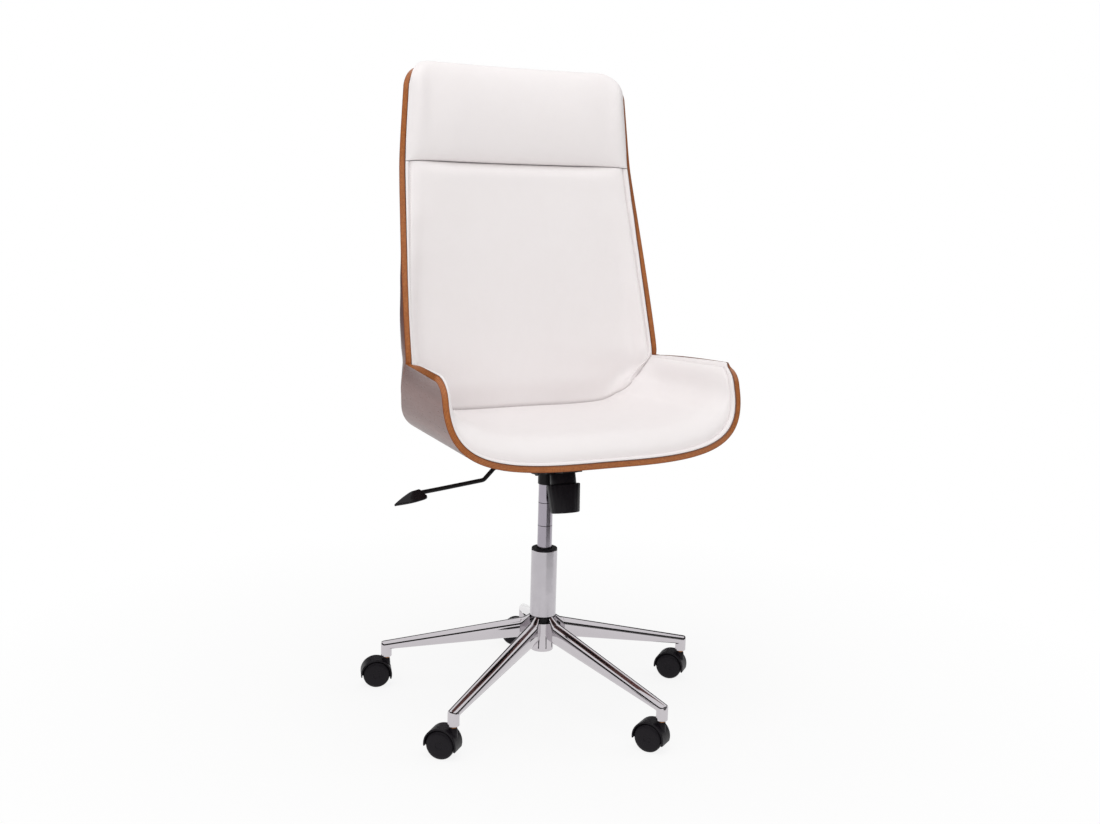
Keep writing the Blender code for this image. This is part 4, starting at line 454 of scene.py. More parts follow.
class Nodes:
    """Places and links the nodes of one tree."""

    def __init__(self, tree: NodeTree) -> None:
        """Keep the tree to work on."""
        self.tree = tree

    def feed(self, node: Node, **inputs: object) -> Node:
        """Set or link inputs of a node.

        Args:
            node: the node.
            inputs: values or sockets by the input's name, with _ for a space, or by its number as i0 or i1.

        Returns:
            The same node.
        """
        for key, value in inputs.items():
            numbered = key[0] == "i" and key[1:].isdigit()
            socket = node.inputs[int(key[1:]) if numbered else key.replace("_", " ")]
            if isinstance(value, NodeSocket):
                self.tree.links.new(value, socket)
            elif socket.type == "RGBA" and len(value) == 3:
                socket.default_value = (*value, 1.0)
            else:
                socket.default_value = value
        return node

    def add(self, kind: str, settings: Optional[dict] = None, **inputs: object) -> Node:
        """Add a node.

        Args:
            kind: type of the node, without ShaderNode.
            settings: attributes to set on it.
            inputs: as for feed.

        Returns:
            The node.
        """
        node = self.tree.nodes.new("ShaderNode" + kind)
        for key, value in (settings or {}).items():
            setattr(node, key, value)
        return self.feed(node, **inputs)

    def place(self) -> NodeSocket:
        """Coordinates on the object."""
        return self.add("TexCoord").outputs["Object"]

    def math(self, operation: str, a: object, b: object = 0.0, clamped: bool = False) -> NodeSocket:
        """Result of a Math node."""
        return self.add("Math", {"operation": operation, "use_clamp": clamped}, i0=a, i1=b).outputs[0]

    def blend(self, factor: object, a: object, b: object, kind: str = "MIX") -> NodeSocket:
        """Colour result of a Mix node."""
        return self.add("Mix", {"data_type": "RGBA", "blend_type": kind}, i0=factor, i6=a, i7=b).outputs[2]

    def spread(self, value: object, *limits: float) -> NodeSocket:
        """Result of a Map Range node; the limits are from low, from high, to low and to high."""
        ends = dict(zip(("From_Min", "From_Max", "To_Min", "To_Max"), limits))
        return self.add("MapRange", Value=value, **ends).outputs[0]

    def noise(self, vector: object, scale: object, detail: float = 3.0, rough: float = 0.5) -> NodeSocket:
        """Value of a Noise Texture."""
        return self.add("TexNoise", Vector=vector, Scale=scale, Detail=detail, Roughness=rough).outputs[0]

    def directly_seen(self) -> NodeSocket:
        """Tell direct views from soft light.

        Returns:
            1 for rays from the camera, a mirror or glass, else 0.
        """
        rays = self.add("LightPath").outputs
        seen = self.math("MAXIMUM", rays["Is Camera Ray"], rays["Is Glossy Ray"])
        return self.math("MAXIMUM", seen, rays["Is Transmission Ray"])


Build = Callable[[Nodes, NodeOutputs, Node], None]


class EffectLibrary:
    """Shader node groups that more than one finish uses; each one is built once."""

    def __init__(self) -> None:
        """Start with nothing built."""
        self.made: dict[str, NodeTree] = {}

    def group(
        self, name: str, inputs: dict[str, object], outputs: dict[str, str], build: Build
    ) -> NodeTree:
        """Build a group or return the one already built.

        Args:
            name: name of the group.
            inputs: default value of each input: a number, a vector of three or a colour of four.
            outputs: socket type of each output.
            build: fills the tree between its input sockets and its output node.

        Returns:
            The node tree.
        """
        if name not in self.made:
            tree = self.made[name] = bpy.data.node_groups.new(name, "ShaderNodeTree")
            for label, value in inputs.items():
                kind = "Float" if isinstance(value, float) else {3: "Vector", 4: "Color"}[len(value)]
                kind = "NodeSocket" + kind
                socket = tree.interface.new_socket(name=label, in_out="INPUT", socket_type=kind)
                socket.default_value = value
            for label, kind in outputs.items():
                kind = "NodeSocket" + kind
                tree.interface.new_socket(name=label, in_out="OUTPUT", socket_type=kind)
            source = tree.nodes.new("NodeGroupInput")
            build(Nodes(tree), source.outputs, tree.nodes.new("NodeGroupOutput"))
        return self.made[name]

    def wear(self) -> NodeTree:
        """Uneven colour and gloss: a colour, a darker one, and how much they mingle.

        Returns:
            The node group.
        """

        def build(nodes: Nodes, given: NodeOutputs, sink: Node) -> None:
            """Fill the group.

            Args:
                nodes: placer of the group's nodes.
                given: the group's inputs.
                sink: its output node.
            """
            place = nodes.place()
            broad = nodes.math("MULTIPLY", nodes.noise(place, 7.0, 4.0, 0.55), 0.65)
            fine = nodes.math("MULTIPLY", nodes.noise(place, 55.0, 3.0, 0.6), 0.35)
            mask = nodes.spread(nodes.math("ADD", broad, fine), 0.35, 0.65, 0.0, 1.0)
            share = nodes.math("MULTIPLY", mask, given["Amount"])
            change = nodes.math("MULTIPLY", nodes.math("SUBTRACT", mask, 0.5), given["Gloss Change"])
            nodes.feed(
                sink,
                Colour=nodes.blend(share, given["Colour"], given["Marked"]),
                Roughness=nodes.math("ADD", given["Roughness"], change, True),
            )

        inputs = {"Colour": (0.5, 0.5, 0.5, 1.0), "Marked": (0.4, 0.4, 0.4, 1.0)}
        inputs |= {"Amount": 0.3, "Roughness": 0.4, "Gloss Change": 0.1}
        return self.group("uneven_surface", inputs, {"Colour": "Color", "Roughness": "Float"}, build)

    def pebble(self) -> NodeTree:
        """Height of a fine pebbled grain, for hide and moulded plastic.

        Returns:
            The node group.
        """

        def build(nodes: Nodes, given: NodeOutputs, sink: Node) -> None:
            """Fill the group.

            Args:
                nodes: placer of the group's nodes.
                given: the group's inputs.
                sink: its output node.
            """
            place = nodes.place()
            cells = nodes.add("TexVoronoi", {"feature": "SMOOTH_F1"}, Vector=place, Scale=given["Scale"])
            bumps = nodes.spread(cells.outputs["Distance"], 0.1, 0.75, 1.0, 0.0)
            wide = nodes.noise(place, nodes.math("MULTIPLY", given["Scale"], 0.22))
            nodes.feed(sink, Height=nodes.math("ADD", bumps, nodes.math("MULTIPLY", wide, given["Creases"])))

        return self.group("pebble_grain", {"Scale": 900.0, "Creases": 0.4}, {"Height": "Float"}, build)

    def timber(self) -> NodeTree:
        """Long grain of a veneer along the local Z axis of the coordinates given.

        Returns:
            The node group.
        """

        def build(nodes: Nodes, given: NodeOutputs, sink: Node) -> None:
            """Fill the group.

            Args:
                nodes: placer of the group's nodes.
                given: the group's inputs.
                sink: its output node.
            """
            stretch = nodes.add("Mapping", Vector=given["Coordinates"], Scale=(1.0, 1.0, 0.045)).outputs[0]
            bend = nodes.add("TexNoise", Vector=stretch, Scale=9.0, Detail=2.0)
            warped = nodes.blend(0.05, stretch, bend.outputs["Color"], "LINEAR_LIGHT")
            pores = nodes.noise(warped, 420.0, 3.0, 0.7)
            tone = nodes.spread(nodes.noise(warped, 24.0, 5.0, 0.6), 0.34, 0.68, 0.0, 1.0)
            streak = nodes.spread(nodes.noise(warped, 5.0, 2.0, 0.5), 0.45, 0.72, 0.0, 0.55)
            colour = nodes.blend(tone, given["Light"], given["Dark"])
            colour = nodes.blend(streak, colour, given["Streak"])
            nodes.feed(
                sink,
                Colour=nodes.blend(nodes.spread(pores, 0.54, 0.70, 0.0, 0.18), colour, given["Dark"]),
                Height=nodes.math("ADD", tone, nodes.math("MULTIPLY", pores, 0.3)),
                Gloss_Change=nodes.spread(pores, 0.3, 0.7, -0.04, 0.06),
            )

        inputs = {"Coordinates": (0.0, 0.0, 0.0), "Light": (0.3, 0.15, 0.08, 1.0)}
        inputs |= {"Dark": (0.15, 0.07, 0.04, 1.0), "Streak": (0.2, 0.1, 0.05, 1.0)}
        outputs = {"Colour": "Color", "Height": "Float", "Gloss Change": "Float"}
        return self.group("veneer_grain", inputs, outputs, build)


class Surface(Nodes):
    """The nodes of a new material, which end in its Principled shader."""

    def __init__(self, name: str, effects: Optional[EffectLibrary] = None, **inputs: object) -> None:
        """Make the material.

        Args:
            name: its name.
            effects: the shared shader groups.
            inputs: values of the shader's inputs.
        """
        self.made = bpy.data.materials.new(name)
        self.made.use_nodes = True
        super().__init__(self.made.node_tree)
        self.effects = effects
        self.shader = self.feed(self.tree.nodes["Principled BSDF"], **inputs)

    def group(self, tree: NodeTree, **inputs: object) -> NodeOutputs:
        """Sockets that a shared effect puts out."""
        return self.add("Group", {"node_tree": tree}, **inputs).outputs

    def weather(
        self, colour: object, marked: Colour, amount: float, roughness: float, change: float
    ) -> None:
        """Feed an uneven colour and gloss to the shader.

        Args:
            colour: main colour or the socket that gives it.
            marked: colour of the marks.
            amount: how much of the marks shows.
            roughness: mean roughness.
            change: how much the roughness varies.
        """
        values = {"Amount": amount, "Roughness": roughness, "Gloss_Change": change}
        wear = self.group(self.effects.wear(), Colour=colour, Marked=marked, **values)
        self.feed(self.shader, Base_Color=wear["Colour"], Roughness=wear["Roughness"])

    def relief(self, height: NodeSocket, strength: float, depth: float) -> None:
        """Feed a bump to the shader."""
        bump = self.add("Bump", Strength=strength, Distance=depth, Height=height)
        self.feed(self.shader, Normal=bump.outputs[0])


@dataclass(frozen=True)
class Leatherette:
    """Coated upholstery cloth with a fine pebbled grain."""

    name: str = "white_leatherette"
    colour: Colour = (0.895, 0.858, 0.858)
    worn: Colour = (0.870, 0.828, 0.824)
    roughness: float = 0.42
    grain_scale: float = 620.0
    grain_depth: float = 0.00022

    def make(self, effects: EffectLibrary) -> Material:
        """Build the material.

        Args:
            effects: the shared shader groups.

        Returns:
            The material.
        """
        lustre = {"Sheen_Weight": 0.12, "Sheen_Roughness": 0.45, "Specular_IOR_Level": 0.42}
        surface = Surface(self.name, effects, **lustre)
        surface.weather(self.colour, self.worn, 0.55, self.roughness, 0.10)
        grain = surface.group(effects.pebble(), Scale=self.grain_scale, Creases=0.8)
        surface.relief(grain[0], 0.35, self.grain_depth)
        return surface.made


@dataclass(frozen=True)
class Veneer:
    """Lacquered walnut veneer; the grain runs along the axis that turn brings to Z."""

    name: str
    turn: tuple[float, float, float] = (0.0, 0.0, 0.0)
    light: Colour = (0.235, 0.118, 0.106)
    dark: Colour = (0.145, 0.066, 0.059)
    streak: Colour = (0.190, 0.092, 0.083)
    roughness: float = 0.30

    def make(self, effects: EffectLibrary) -> Material:
        """Build the material.

        Args:
            effects: the shared shader groups.

        Returns:
            The material.
        """
        surface = Surface(self.name, effects, Specular_IOR_Level=0.18, Coat_Weight=0.03, Coat_Roughness=0.22)
        place = surface.add("Mapping", Vector=surface.place(), Rotation=self.turn).outputs[0]
        tones = {"Light": self.light, "Dark": self.dark, "Streak": self.streak}
        grain = surface.group(effects.timber(), Coordinates=place, **tones)
        rough = surface.math("ADD", grain["Gloss Change"], self.roughness)
        surface.feed(surface.shader, Base_Color=grain["Colour"], Roughness=rough)
        surface.relief(grain["Height"], 0.15, 0.0002)
        return surface.made


@dataclass(frozen=True)
class PlyEdge:
    """Cut edge of the moulded ply: thin layers, light and dark in turn, under lacquer, with painted shade
    that darkens it towards both faces where the edge is rounded.
    """

    name: str = "ply_edge"
    light: Colour = (0.520, 0.185, 0.055)
    dark: Colour = (0.210, 0.058, 0.016)
    plies: int = 9
    roughness: float = 0.34

    def make(self, effects: EffectLibrary) -> Material:
        """Build the material.

        Args:
            effects: the shared shader groups.

        Returns:
            The material.
        """
        surface = Surface(self.name, effects, Specular_IOR_Level=0.30, Coat_Weight=0.16, Coat_Roughness=0.14)
        depth = surface.add("Attribute", {"attribute_name": "ply_depth"}).outputs["Fac"]
        place = surface.place()
        wander = surface.math("SUBTRACT", surface.noise(place, 16.0, 2.0), 0.5)
        level = surface.math("ADD", depth, surface.math("MULTIPLY", wander, 0.10))
        wave = surface.math("SINE", surface.math("MULTIPLY", level, math.pi * self.plies))
        layer = surface.math("MULTIPLY", surface.spread(wave, -0.5, 0.7, 0.0, 1.0), 0.55)
        fibres = surface.spread(surface.noise(place, 260.0, 4.0, 0.7), 0.35, 0.7, 0.0, 0.45)
        tone = surface.math("ADD", layer, fibres)
        # Painted shade: the colour darkens towards both faces of the ply, where the rounded edge turns away
        # from the light.
        off_middle = surface.math("ABSOLUTE", surface.math("SUBTRACT", depth, 0.5))
        edge_round_painted_shade = surface.spread(off_middle, 0.30, 0.44, 0.0, 0.85)
        colour = surface.blend(edge_round_painted_shade, surface.blend(tone, self.light, self.dark), self.dark)
        surface.weather(colour, self.dark, 0.25, self.roughness, 0.12)
        surface.relief(tone, 0.2, 0.0002)
        return surface.made


@dataclass(frozen=True)
class Metal:
    """Bare, plated or polished metal."""

    name: str
    colour: Colour
    marked: Colour
    roughness: float
    change: float = 0.03
    amount: float = 0.3
    brushed: float = 0.0

    def make(self, effects: EffectLibrary) -> Material:
        """Build the material.

        Args:
            effects: the shared shader groups.

        Returns:
            The material.
        """
        surface = Surface(self.name, effects, Metallic=1.0)
        surface.weather(self.colour, self.marked, self.amount, self.roughness, self.change)
        if self.brushed > 0.0:
            lines = surface.add("Mapping", Vector=surface.place(), Scale=(1.0, 1.0, 30.0)).outputs[0]
            surface.relief(surface.noise(lines, 60.0, 4.0, 0.7), self.brushed, 0.00005)
        return surface.made


@dataclass(frozen=True)
class Moulding:
    """Moulded plastic or painted steel with a fine texture."""

    name: str
    colour: Colour
    marked: Colour
    roughness: float
    texture: float = 1500.0
    depth: float = 0.00010
    specular: float = 0.16

    def make(self, effects: EffectLibrary) -> Material:
        """Build the material.

        Args:
            effects: the shared shader groups.

        Returns:
            The material.
        """
        surface = Surface(self.name, effects, Specular_IOR_Level=self.specular)
        surface.weather(self.colour, self.marked, 0.6, self.roughness, 0.12)
        grain = surface.group(effects.pebble(), Scale=self.texture, Creases=0.2)
        surface.relief(grain[0], 0.3, self.depth)
        return surface.made


class Finishes:
    """Every finish of the chair, built once."""

    def __init__(self) -> None:
        """Build the materials."""
        effects = EffectLibrary()
        black, worn_black = (0.008, 0.0065, 0.009), (0.018, 0.017, 0.018)
        wanted = {
            "leatherette": Leatherette(),
            "thread": Leatherette(
                "sewing_thread", (0.80, 0.77, 0.76), (0.72, 0.69, 0.68), 0.55, 2600.0, 0.0001
            ),
            "back_veneer": Veneer("back_veneer"),
            "seat_veneer": Veneer("seat_veneer", (math.pi / 2, 0.0, 0.0)),
            "inner_veneer": Veneer("inner_veneer", light=(0.26, 0.14, 0.09), dark=(0.16, 0.08, 0.05)),
            "ply_edge": PlyEdge(),
            "chrome": Metal(
                "polished_chrome", (0.585, 0.555, 0.580), (0.53, 0.505, 0.53), 0.055, 0.03, 0.35
            ),
            "satin": Metal(
                "satin_chrome", (0.540, 0.515, 0.545), (0.48, 0.455, 0.485), 0.24, 0.06, 0.5, 0.35
            ),
            "cylinder": Metal(
                "cylinder_steel", (0.40, 0.37, 0.42), (0.33, 0.30, 0.34), 0.17, 0.05, 0.5, 0.2
            ),
            "zinc": Metal("zinc_plate", (0.56, 0.55, 0.53), (0.45, 0.44, 0.42), 0.36, 0.10, 0.6),
            "bronzed": Metal("bronzed_flange", (0.42, 0.20, 0.09), (0.25, 0.11, 0.05), 0.34, 0.10, 0.6),
            "plastic": Moulding("black_plastic", black, (0.013, 0.011, 0.014), 0.42),
            "gloss_plastic": Moulding(
                "gloss_plastic", (0.008, 0.007, 0.008), (0.012, 0.010, 0.012), 0.18, 2200.0, 0.00001, 0.3
            ),
            "tread": Moulding("wheel_tread", (0.009, 0.008, 0.009), worn_black, 0.55),
            "steel": Moulding("black_paint", (0.010, 0.009, 0.010), worn_black, 0.34, 1800.0, 0.00006),
        }
        self.made = {key: finish.make(effects) for key, finish in wanted.items()}

    def __getitem__(self, key: str) -> Material:
        """A built material by its key."""
        return self.made[key]


def seat_piece(made: Object, body: str, nodes: Iterable[str] = ()) -> None:
    """Let a piece ride on a body and stand for CAD nodes.

    Args:
        made: the piece.
        body: CAD body that it moves with.
        nodes: CAD nodes that it replaces.
    """
    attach(made, body)
    if nodes:
        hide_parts(*nodes)
    LOG.info("built %s", made.name)


# Shell surfaces


@dataclass
class ShellForm:
    """Outer faces of both shells, for the half at +x; s runs from the middle, 0, to the edge, 1."""

    seat_z: float
    ply: float = 0.0110
    seat_half_width: float = 0.2980
    rear_half_width: float = 0.2680
    seat_flat: float = 0.0500
    floor_reach: float = 0.1700
    wall_reach: float = 0.1010
    wall_start: float = 0.1200
    wing_height: float = 0.1570
    seat_front: float = 0.2300
    front_lean: float = 15.9
    wing_corner: float = 0.0250
    corner_height: float = 0.0940
    back_height: float = 0.6950
    top_half_width: float = 0.2322
    narrowing: float = 1.4
    foot_y: float = 0.1575
    back_lean: float = 5.2
    head_lean: float = 2.9
    head_height: float = 0.5210
    middle_blend: float = 0.0006
    edge_waist_y: float = 0.0455
    edge_lean: float = 15.6
    edge_head_lean: float = 4.2
    edge_blend: float = 0.0050
    seam_arc: float = 0.0950
    seam_arc_height: float = 0.0900
    seam_arc_y: float = 0.0730
    back_corner: float = 0.0400
    middle_pull: float = 0.7000
    edge_pull_low: float = 0.0900
    edge_pull_high: float = 0.0400
    edge_turns: tuple = (
        (0.11, 75.0), (0.19, 90.0), (0.23, 90.0), (0.30, 84.0), (0.37, 73.0), (0.44, 60.0), (0.51, 48.0),
        (0.695, 42.0),
    )

    @property
    def rear_share(self) -> float:
        """Rear section width over front section width."""
        return self.rear_half_width / self.seat_half_width

    @property
    def corner_z(self) -> float:
        """Height at which the seam leaves the seat's floor curve for the wing."""
        return self.seat_z + self.corner_height

    @property
    def head_z(self) -> float:
        """Seam under the headrest."""
        return self.seat_z + self.head_height

    @property
    def top_edge_z(self) -> float:
        """Top of the back shell."""
        return self.seat_z + self.back_height

    @property
    def waist_z(self) -> float:
        """Top of the wings."""
        return self.seat_z + self.wing_height

    def section_point(self, axis: int, value: float) -> Vector:
        """Place on the seat's corner curve at which x (axis 0) or z (axis 1) has a value.

        Args:
            axis: the axis.
            value: the value.

        Returns:
            x at the front, and z.
        """
        foot = Vector((self.seat_flat, self.seat_z))
        wall = Vector((self.seat_half_width, self.seat_z + self.wall_start))
        pulls = foot + Vector((self.floor_reach, 0.0)), wall - Vector((0.0, self.wall_reach))
        low, high = 0.0, 1.0
        for _ in range(26):
            t = 0.5 * (low + high)
            if bezier(foot, *pulls, wall, t)[axis] < value:
                low = t
            else:
                high = t
        return bezier(foot, *pulls, wall, 0.5 * (low + high))

    def section_z(self, x: float) -> float:
        """Height of the seat's outer face at a front-section x."""
        return self.seat_z if x <= self.seat_flat else self.section_point(0, x).y

    def section_x(self, z: float) -> float:
        """Front-section x of the seat's outer face at a height."""
        return self.seat_half_width if z >= self.seat_z + self.wall_start else self.section_point(1, z).x

    def seat_front_y(self, z: float) -> float:
        """Front edge of the seat, leaning back, with a round top corner on the wing.

        Args:
            z: height.

        Returns:
            Its y.
        """
        y = -self.seat_front + (z - self.seat_z) * math.tan(math.radians(self.front_lean))
        past = max(0.0, self.wing_corner - (self.waist_z - z))
        return y + self.wing_corner - arc_height(self.wing_corner, past)

    def kinked_y(
        self, rise: float, start: tuple[float, float], leans: tuple[float, float], blend: float
    ) -> float:
        """A line that leans back and stands up more steeply above the head seam.

        Args:
            rise: height above the seat's floor.
            start: rise and y of a place on the lower part.
            leans: degrees below and above the head seam.
            blend: rounding at the head seam.

        Returns:
            Its y.
        """
        low, high = (math.tan(math.radians(lean)) for lean in leans)
        head = start[1] + (self.head_height - start[0]) * low + (rise - self.head_height) * high
        return soft_min(start[1] + (rise - start[0]) * low, head, blend)

    def middle_y(self, z: float) -> float:
        """Rear face of the back shell in the middle."""
        leans = self.back_lean, self.head_lean
        return self.kinked_y(z - self.seat_z, (0.0, self.foot_y), leans, self.middle_blend)

    def edge_y(self, z: float) -> float:
        """Front edge of the back shell, and of the seam below the waist.

        Args:
            z: height.

        Returns:
            Its y.
        """
        rise = z - self.seat_z
        waist = self.wing_height, self.edge_waist_y
        upper = self.kinked_y(rise, waist, (self.edge_lean, self.edge_head_lean), self.edge_blend / 2)
        arc = self.seam_arc_y - self.seam_arc + arc_height(self.seam_arc, rise - self.seam_arc_height)
        return soft_max(upper, arc, self.edge_blend)

    def edge_x(self, z: float) -> float:
        """Half width of the back shell's outer face.

        Args:
            z: height.

        Returns:
            Its x.
        """
        if z <= self.waist_z:
            return self.rear_share * self.section_x(max(z, self.corner_z))
        share = clamp((z - self.waist_z) / (self.top_edge_z - self.waist_z), 0.0, 1.0)
        return mix(self.rear_half_width, self.top_half_width, share**self.narrowing)

    def edge_pull(self, z: float) -> Vector:
        """Pull of the section at its edge, towards the middle.

        Args:
            z: height.

        Returns:
            Its x and y.
        """
        rise = z - self.seat_z
        low_rise, angle = self.edge_turns[0]
        for high_rise, high_angle in self.edge_turns[1:]:
            if rise > low_rise:
                angle = mix(angle, high_angle, ease(low_rise, high_rise, rise))
            low_rise = high_rise
        a = math.radians(angle)
        share = ease(self.wing_height, self.head_height, rise)
        return Vector((-math.cos(a), math.sin(a))) * mix(self.edge_pull_low, self.edge_pull_high, share)

    def back_point(self, s: float, z: float) -> Vector:
        """Outer face of the back shell.

        Args:
            s: place across, -1 to 1.
            z: height.

        Returns:
            The point.
        """
        edge = Vector((self.edge_x(z), self.edge_y(z)))
        middle = self.middle_y(z)
        flat = Vector((self.middle_pull * edge.x, middle))
        p = bezier(Vector((0.0, middle)), flat, edge + self.edge_pull(z), edge, abs(s))
        return Vector((math.copysign(1.0, s) * p.x, p.y, z))

    def back_normal(self, s: float, z: float) -> Vector:
        """Unit normal of the back's outer face, towards the sitter.

        Args:
            s: place across, -1 to 1.
            z: height.

        Returns:
            The normal.
        """
        across = self.back_point(clamp(s + 0.004, -1, 1), z) - self.back_point(clamp(s - 0.004, -1, 1), z)
        upward = self.back_point(s, z + 0.002) - self.back_point(s, z - 0.002)
        normal = across.cross(upward).normalized()
        return normal if normal.y < 0 or normal.x * s < 0 and abs(normal.y) < 0.2 else -normal

    def foot_z(self, s: float) -> float:
        """Height at which a column of the back shell meets the seat shell's outer face.

        Args:
            s: place across.

        Returns:
            The height.
        """
        z = self.seat_z
        for _ in range(24):
            x = min(self.back_point(s, z).x / self.rear_share, self.seat_half_width)
            z = min(self.section_z(x), self.corner_z)
        return z

    def top_z(self, s: float) -> float:
        """Top edge of the back shell, with round corners.

        Args:
            s: place across.

        Returns:
            Its height.
        """
        corner = self.edge_x(self.top_edge_z) - self.back_corner
        past = max(0.0, abs(self.back_point(s, self.top_edge_z).x) - corner)
        return self.top_edge_z - self.back_corner + arc_height(self.back_corner, past)


@dataclass
class SeamPoint:
    """One place on the seam between the shells."""

    front: Vector
    rear: Vector
    seat_normal: Vector
    back_normal: Vector
    s: float
    rise: float

    @property
    def mitre(self) -> Vector:
        """Inward direction that is one unit from both faces for each unit."""
        return (self.seat_normal + self.back_normal) / (1.0 + self.seat_normal.dot(self.back_normal))


@dataclass
class Sheet:
    """Both faces of one moulded shell, for the half at +x, with the normals of the outer face."""

    outer: Grid = field(default_factory=list)
    inner: Grid = field(default_factory=list)
    normals: Grid = field(default_factory=list)

    def add_row(self, points: list[Vector], ways: list[Vector], normals: list[Vector], ply: float) -> None:
        """Add a row.

        Args:
            points: points of the outer face.
            ways: direction from each one to its inner point.
            normals: normals of the outer face.
            ply: thickness of the ply.
        """
        self.outer.append(points)
        self.inner.append([p + way * ply for p, way in zip(points, ways)])
        self.normals.append(normals)

    def place(self, row: float, column: float) -> Spot:
        """Inner point and unit normal at fractional indices."""
        return grid_point(self.inner, row, column), grid_point(self.normals, row, column).normalized()

    def build(
        self, name: str, node: str, finishes: Sequence[Material], every: int, edge: float
    ) -> None:
        """Close the shell.

        Args:
            name: name of the piece.
            node: CAD node that it replaces.
            finishes: for the outer face, the inner face and the cut edge.
            every: step between the rows that are used.
            edge: width of the rounded edge.
        """
        made = slab(name, self.outer[::every], self.inner[::every], finishes, 40.0)
        bevel = made.modifiers.new("edge_round", "BEVEL")
        bevel.width = edge
        bevel.segments = 4
        bevel.limit_method = "ANGLE"
        bevel.angle_limit = math.radians(50.0)
        bevel.harden_normals = True
        bevel.material = len(finishes) - 1
        seat_piece(made, "seat", [node])


@dataclass
class ShellPair:
    """The seat shell and the back shell with their veneers and cut edges."""

    form: ShellForm
    finishes: Finishes
    floor_columns: int = 40
    wall_columns: int = 18
    seat_rows: int = 48
    back_rows: int = 60
    head_rows: int = 18
    edge_round: float = 0.0019
    part_line: float = 0.0005
    seam: list[SeamPoint] = field(default_factory=list)
    seat: Sheet = field(default_factory=Sheet)
    back: Sheet = field(default_factory=Sheet)
    back_shares: list[float] = field(default_factory=list)

    def trace_seam(self) -> None:
        """Work out the seam from the middle to the wing's top."""
        form = self.form
        marks = []
        for k in range(self.floor_columns + 1):
            s = 1.0 - (1.0 - k / self.floor_columns) ** 1.25
            marks.append((s, form.foot_z(s)))
        for k in range(1, self.wall_columns + 1):
            t = math.sin(math.pi / 2 * k / self.wall_columns)
            marks.append((1.0, form.seat_z + mix(form.corner_height, form.wing_height, t)))
        rear = [form.back_point(s, z) for s, z in marks]
        for k, (s, z) in enumerate(marks):
            x = rear[k].x / form.rear_share
            if z > form.corner_z:
                x = min(x, form.section_x(z))
            front = Vector((x, form.seat_front_y(z), z))
            normal = chord(rear, k).cross(rear[k] - front).normalized()
            rise = z - form.seat_z
            self.seam.append(SeamPoint(front, rear[k], normal, form.back_normal(s, z), s, rise))

    def lay_seat(self) -> None:
        """Grids of the seat shell, rows from the front edge to the seam."""
        back_off = Vector((0.0, -self.part_line, 0.0))
        rulings = [point.rear - point.front for point in self.seam]
        for row in range(self.seat_rows + 1):
            v = row / self.seat_rows
            line = [mix(point.front, point.rear + back_off, v) for point in self.seam]
            normals = [chord(line, k).cross(ruling).normalized() for k, ruling in enumerate(rulings)]
            ways = [mix(normal, p.mitre, ease(0.93, 1.0, v)) for normal, p in zip(normals, self.seam)]
            self.seat.add_row(line, ways, normals, self.form.ply)

    def lay_back(self) -> None:
        """Grids of the back shell, rows from the seam to the top edge."""
        form = self.form
        walls = [point for point in self.seam if point.s == 1.0]
        span = form.head_z - form.corner_z
        shares = [(form.seat_z + point.rise - form.corner_z) / span for point in walls]
        above = self.back_rows - len(shares)
        shares += [mix(shares[-1], 1.0, (i + 1) / above) for i in range(above)]
        self.back_shares = shares
        columns = [(p, form.foot_z(p.s), form.top_z(p.s)) for p in self.seam[: self.floor_columns + 1]]
        for row in range(len(shares) + self.head_rows):
            points, ways, normals = [], [], []
            for seam, foot, top in columns:
                if row < len(shares):
                    z = mix(foot, form.head_z, shares[row])
                else:
                    z = mix(form.head_z, top, (row - len(shares) + 1) / self.head_rows)
                normal = form.back_normal(seam.s, z)
                way = mix(normal, seam.mitre, 1.0 - ease(0.0, 4.0, row))
                if seam.s == 1.0:
                    way = walls[row].mitre if row < len(walls) else normal
                points.append(form.back_point(seam.s, z))
                ways.append(way)
                normals.append(normal)
            self.back.add_row(points, ways, normals, form.ply)

    def build(self) -> None:
        """Build both shells."""
        self.trace_seam()
        self.lay_seat()
        self.lay_back()
        for sheet, part, every in ((self.seat, "seat", 3), (self.back, "back", 1)):
            finishes = [self.finishes[key] for key in (part + "_veneer", "inner_veneer", "ply_edge")]
            sheet.build(part + "_shell_veneered", part + "_shell", finishes, every, self.edge_round)


# Pads


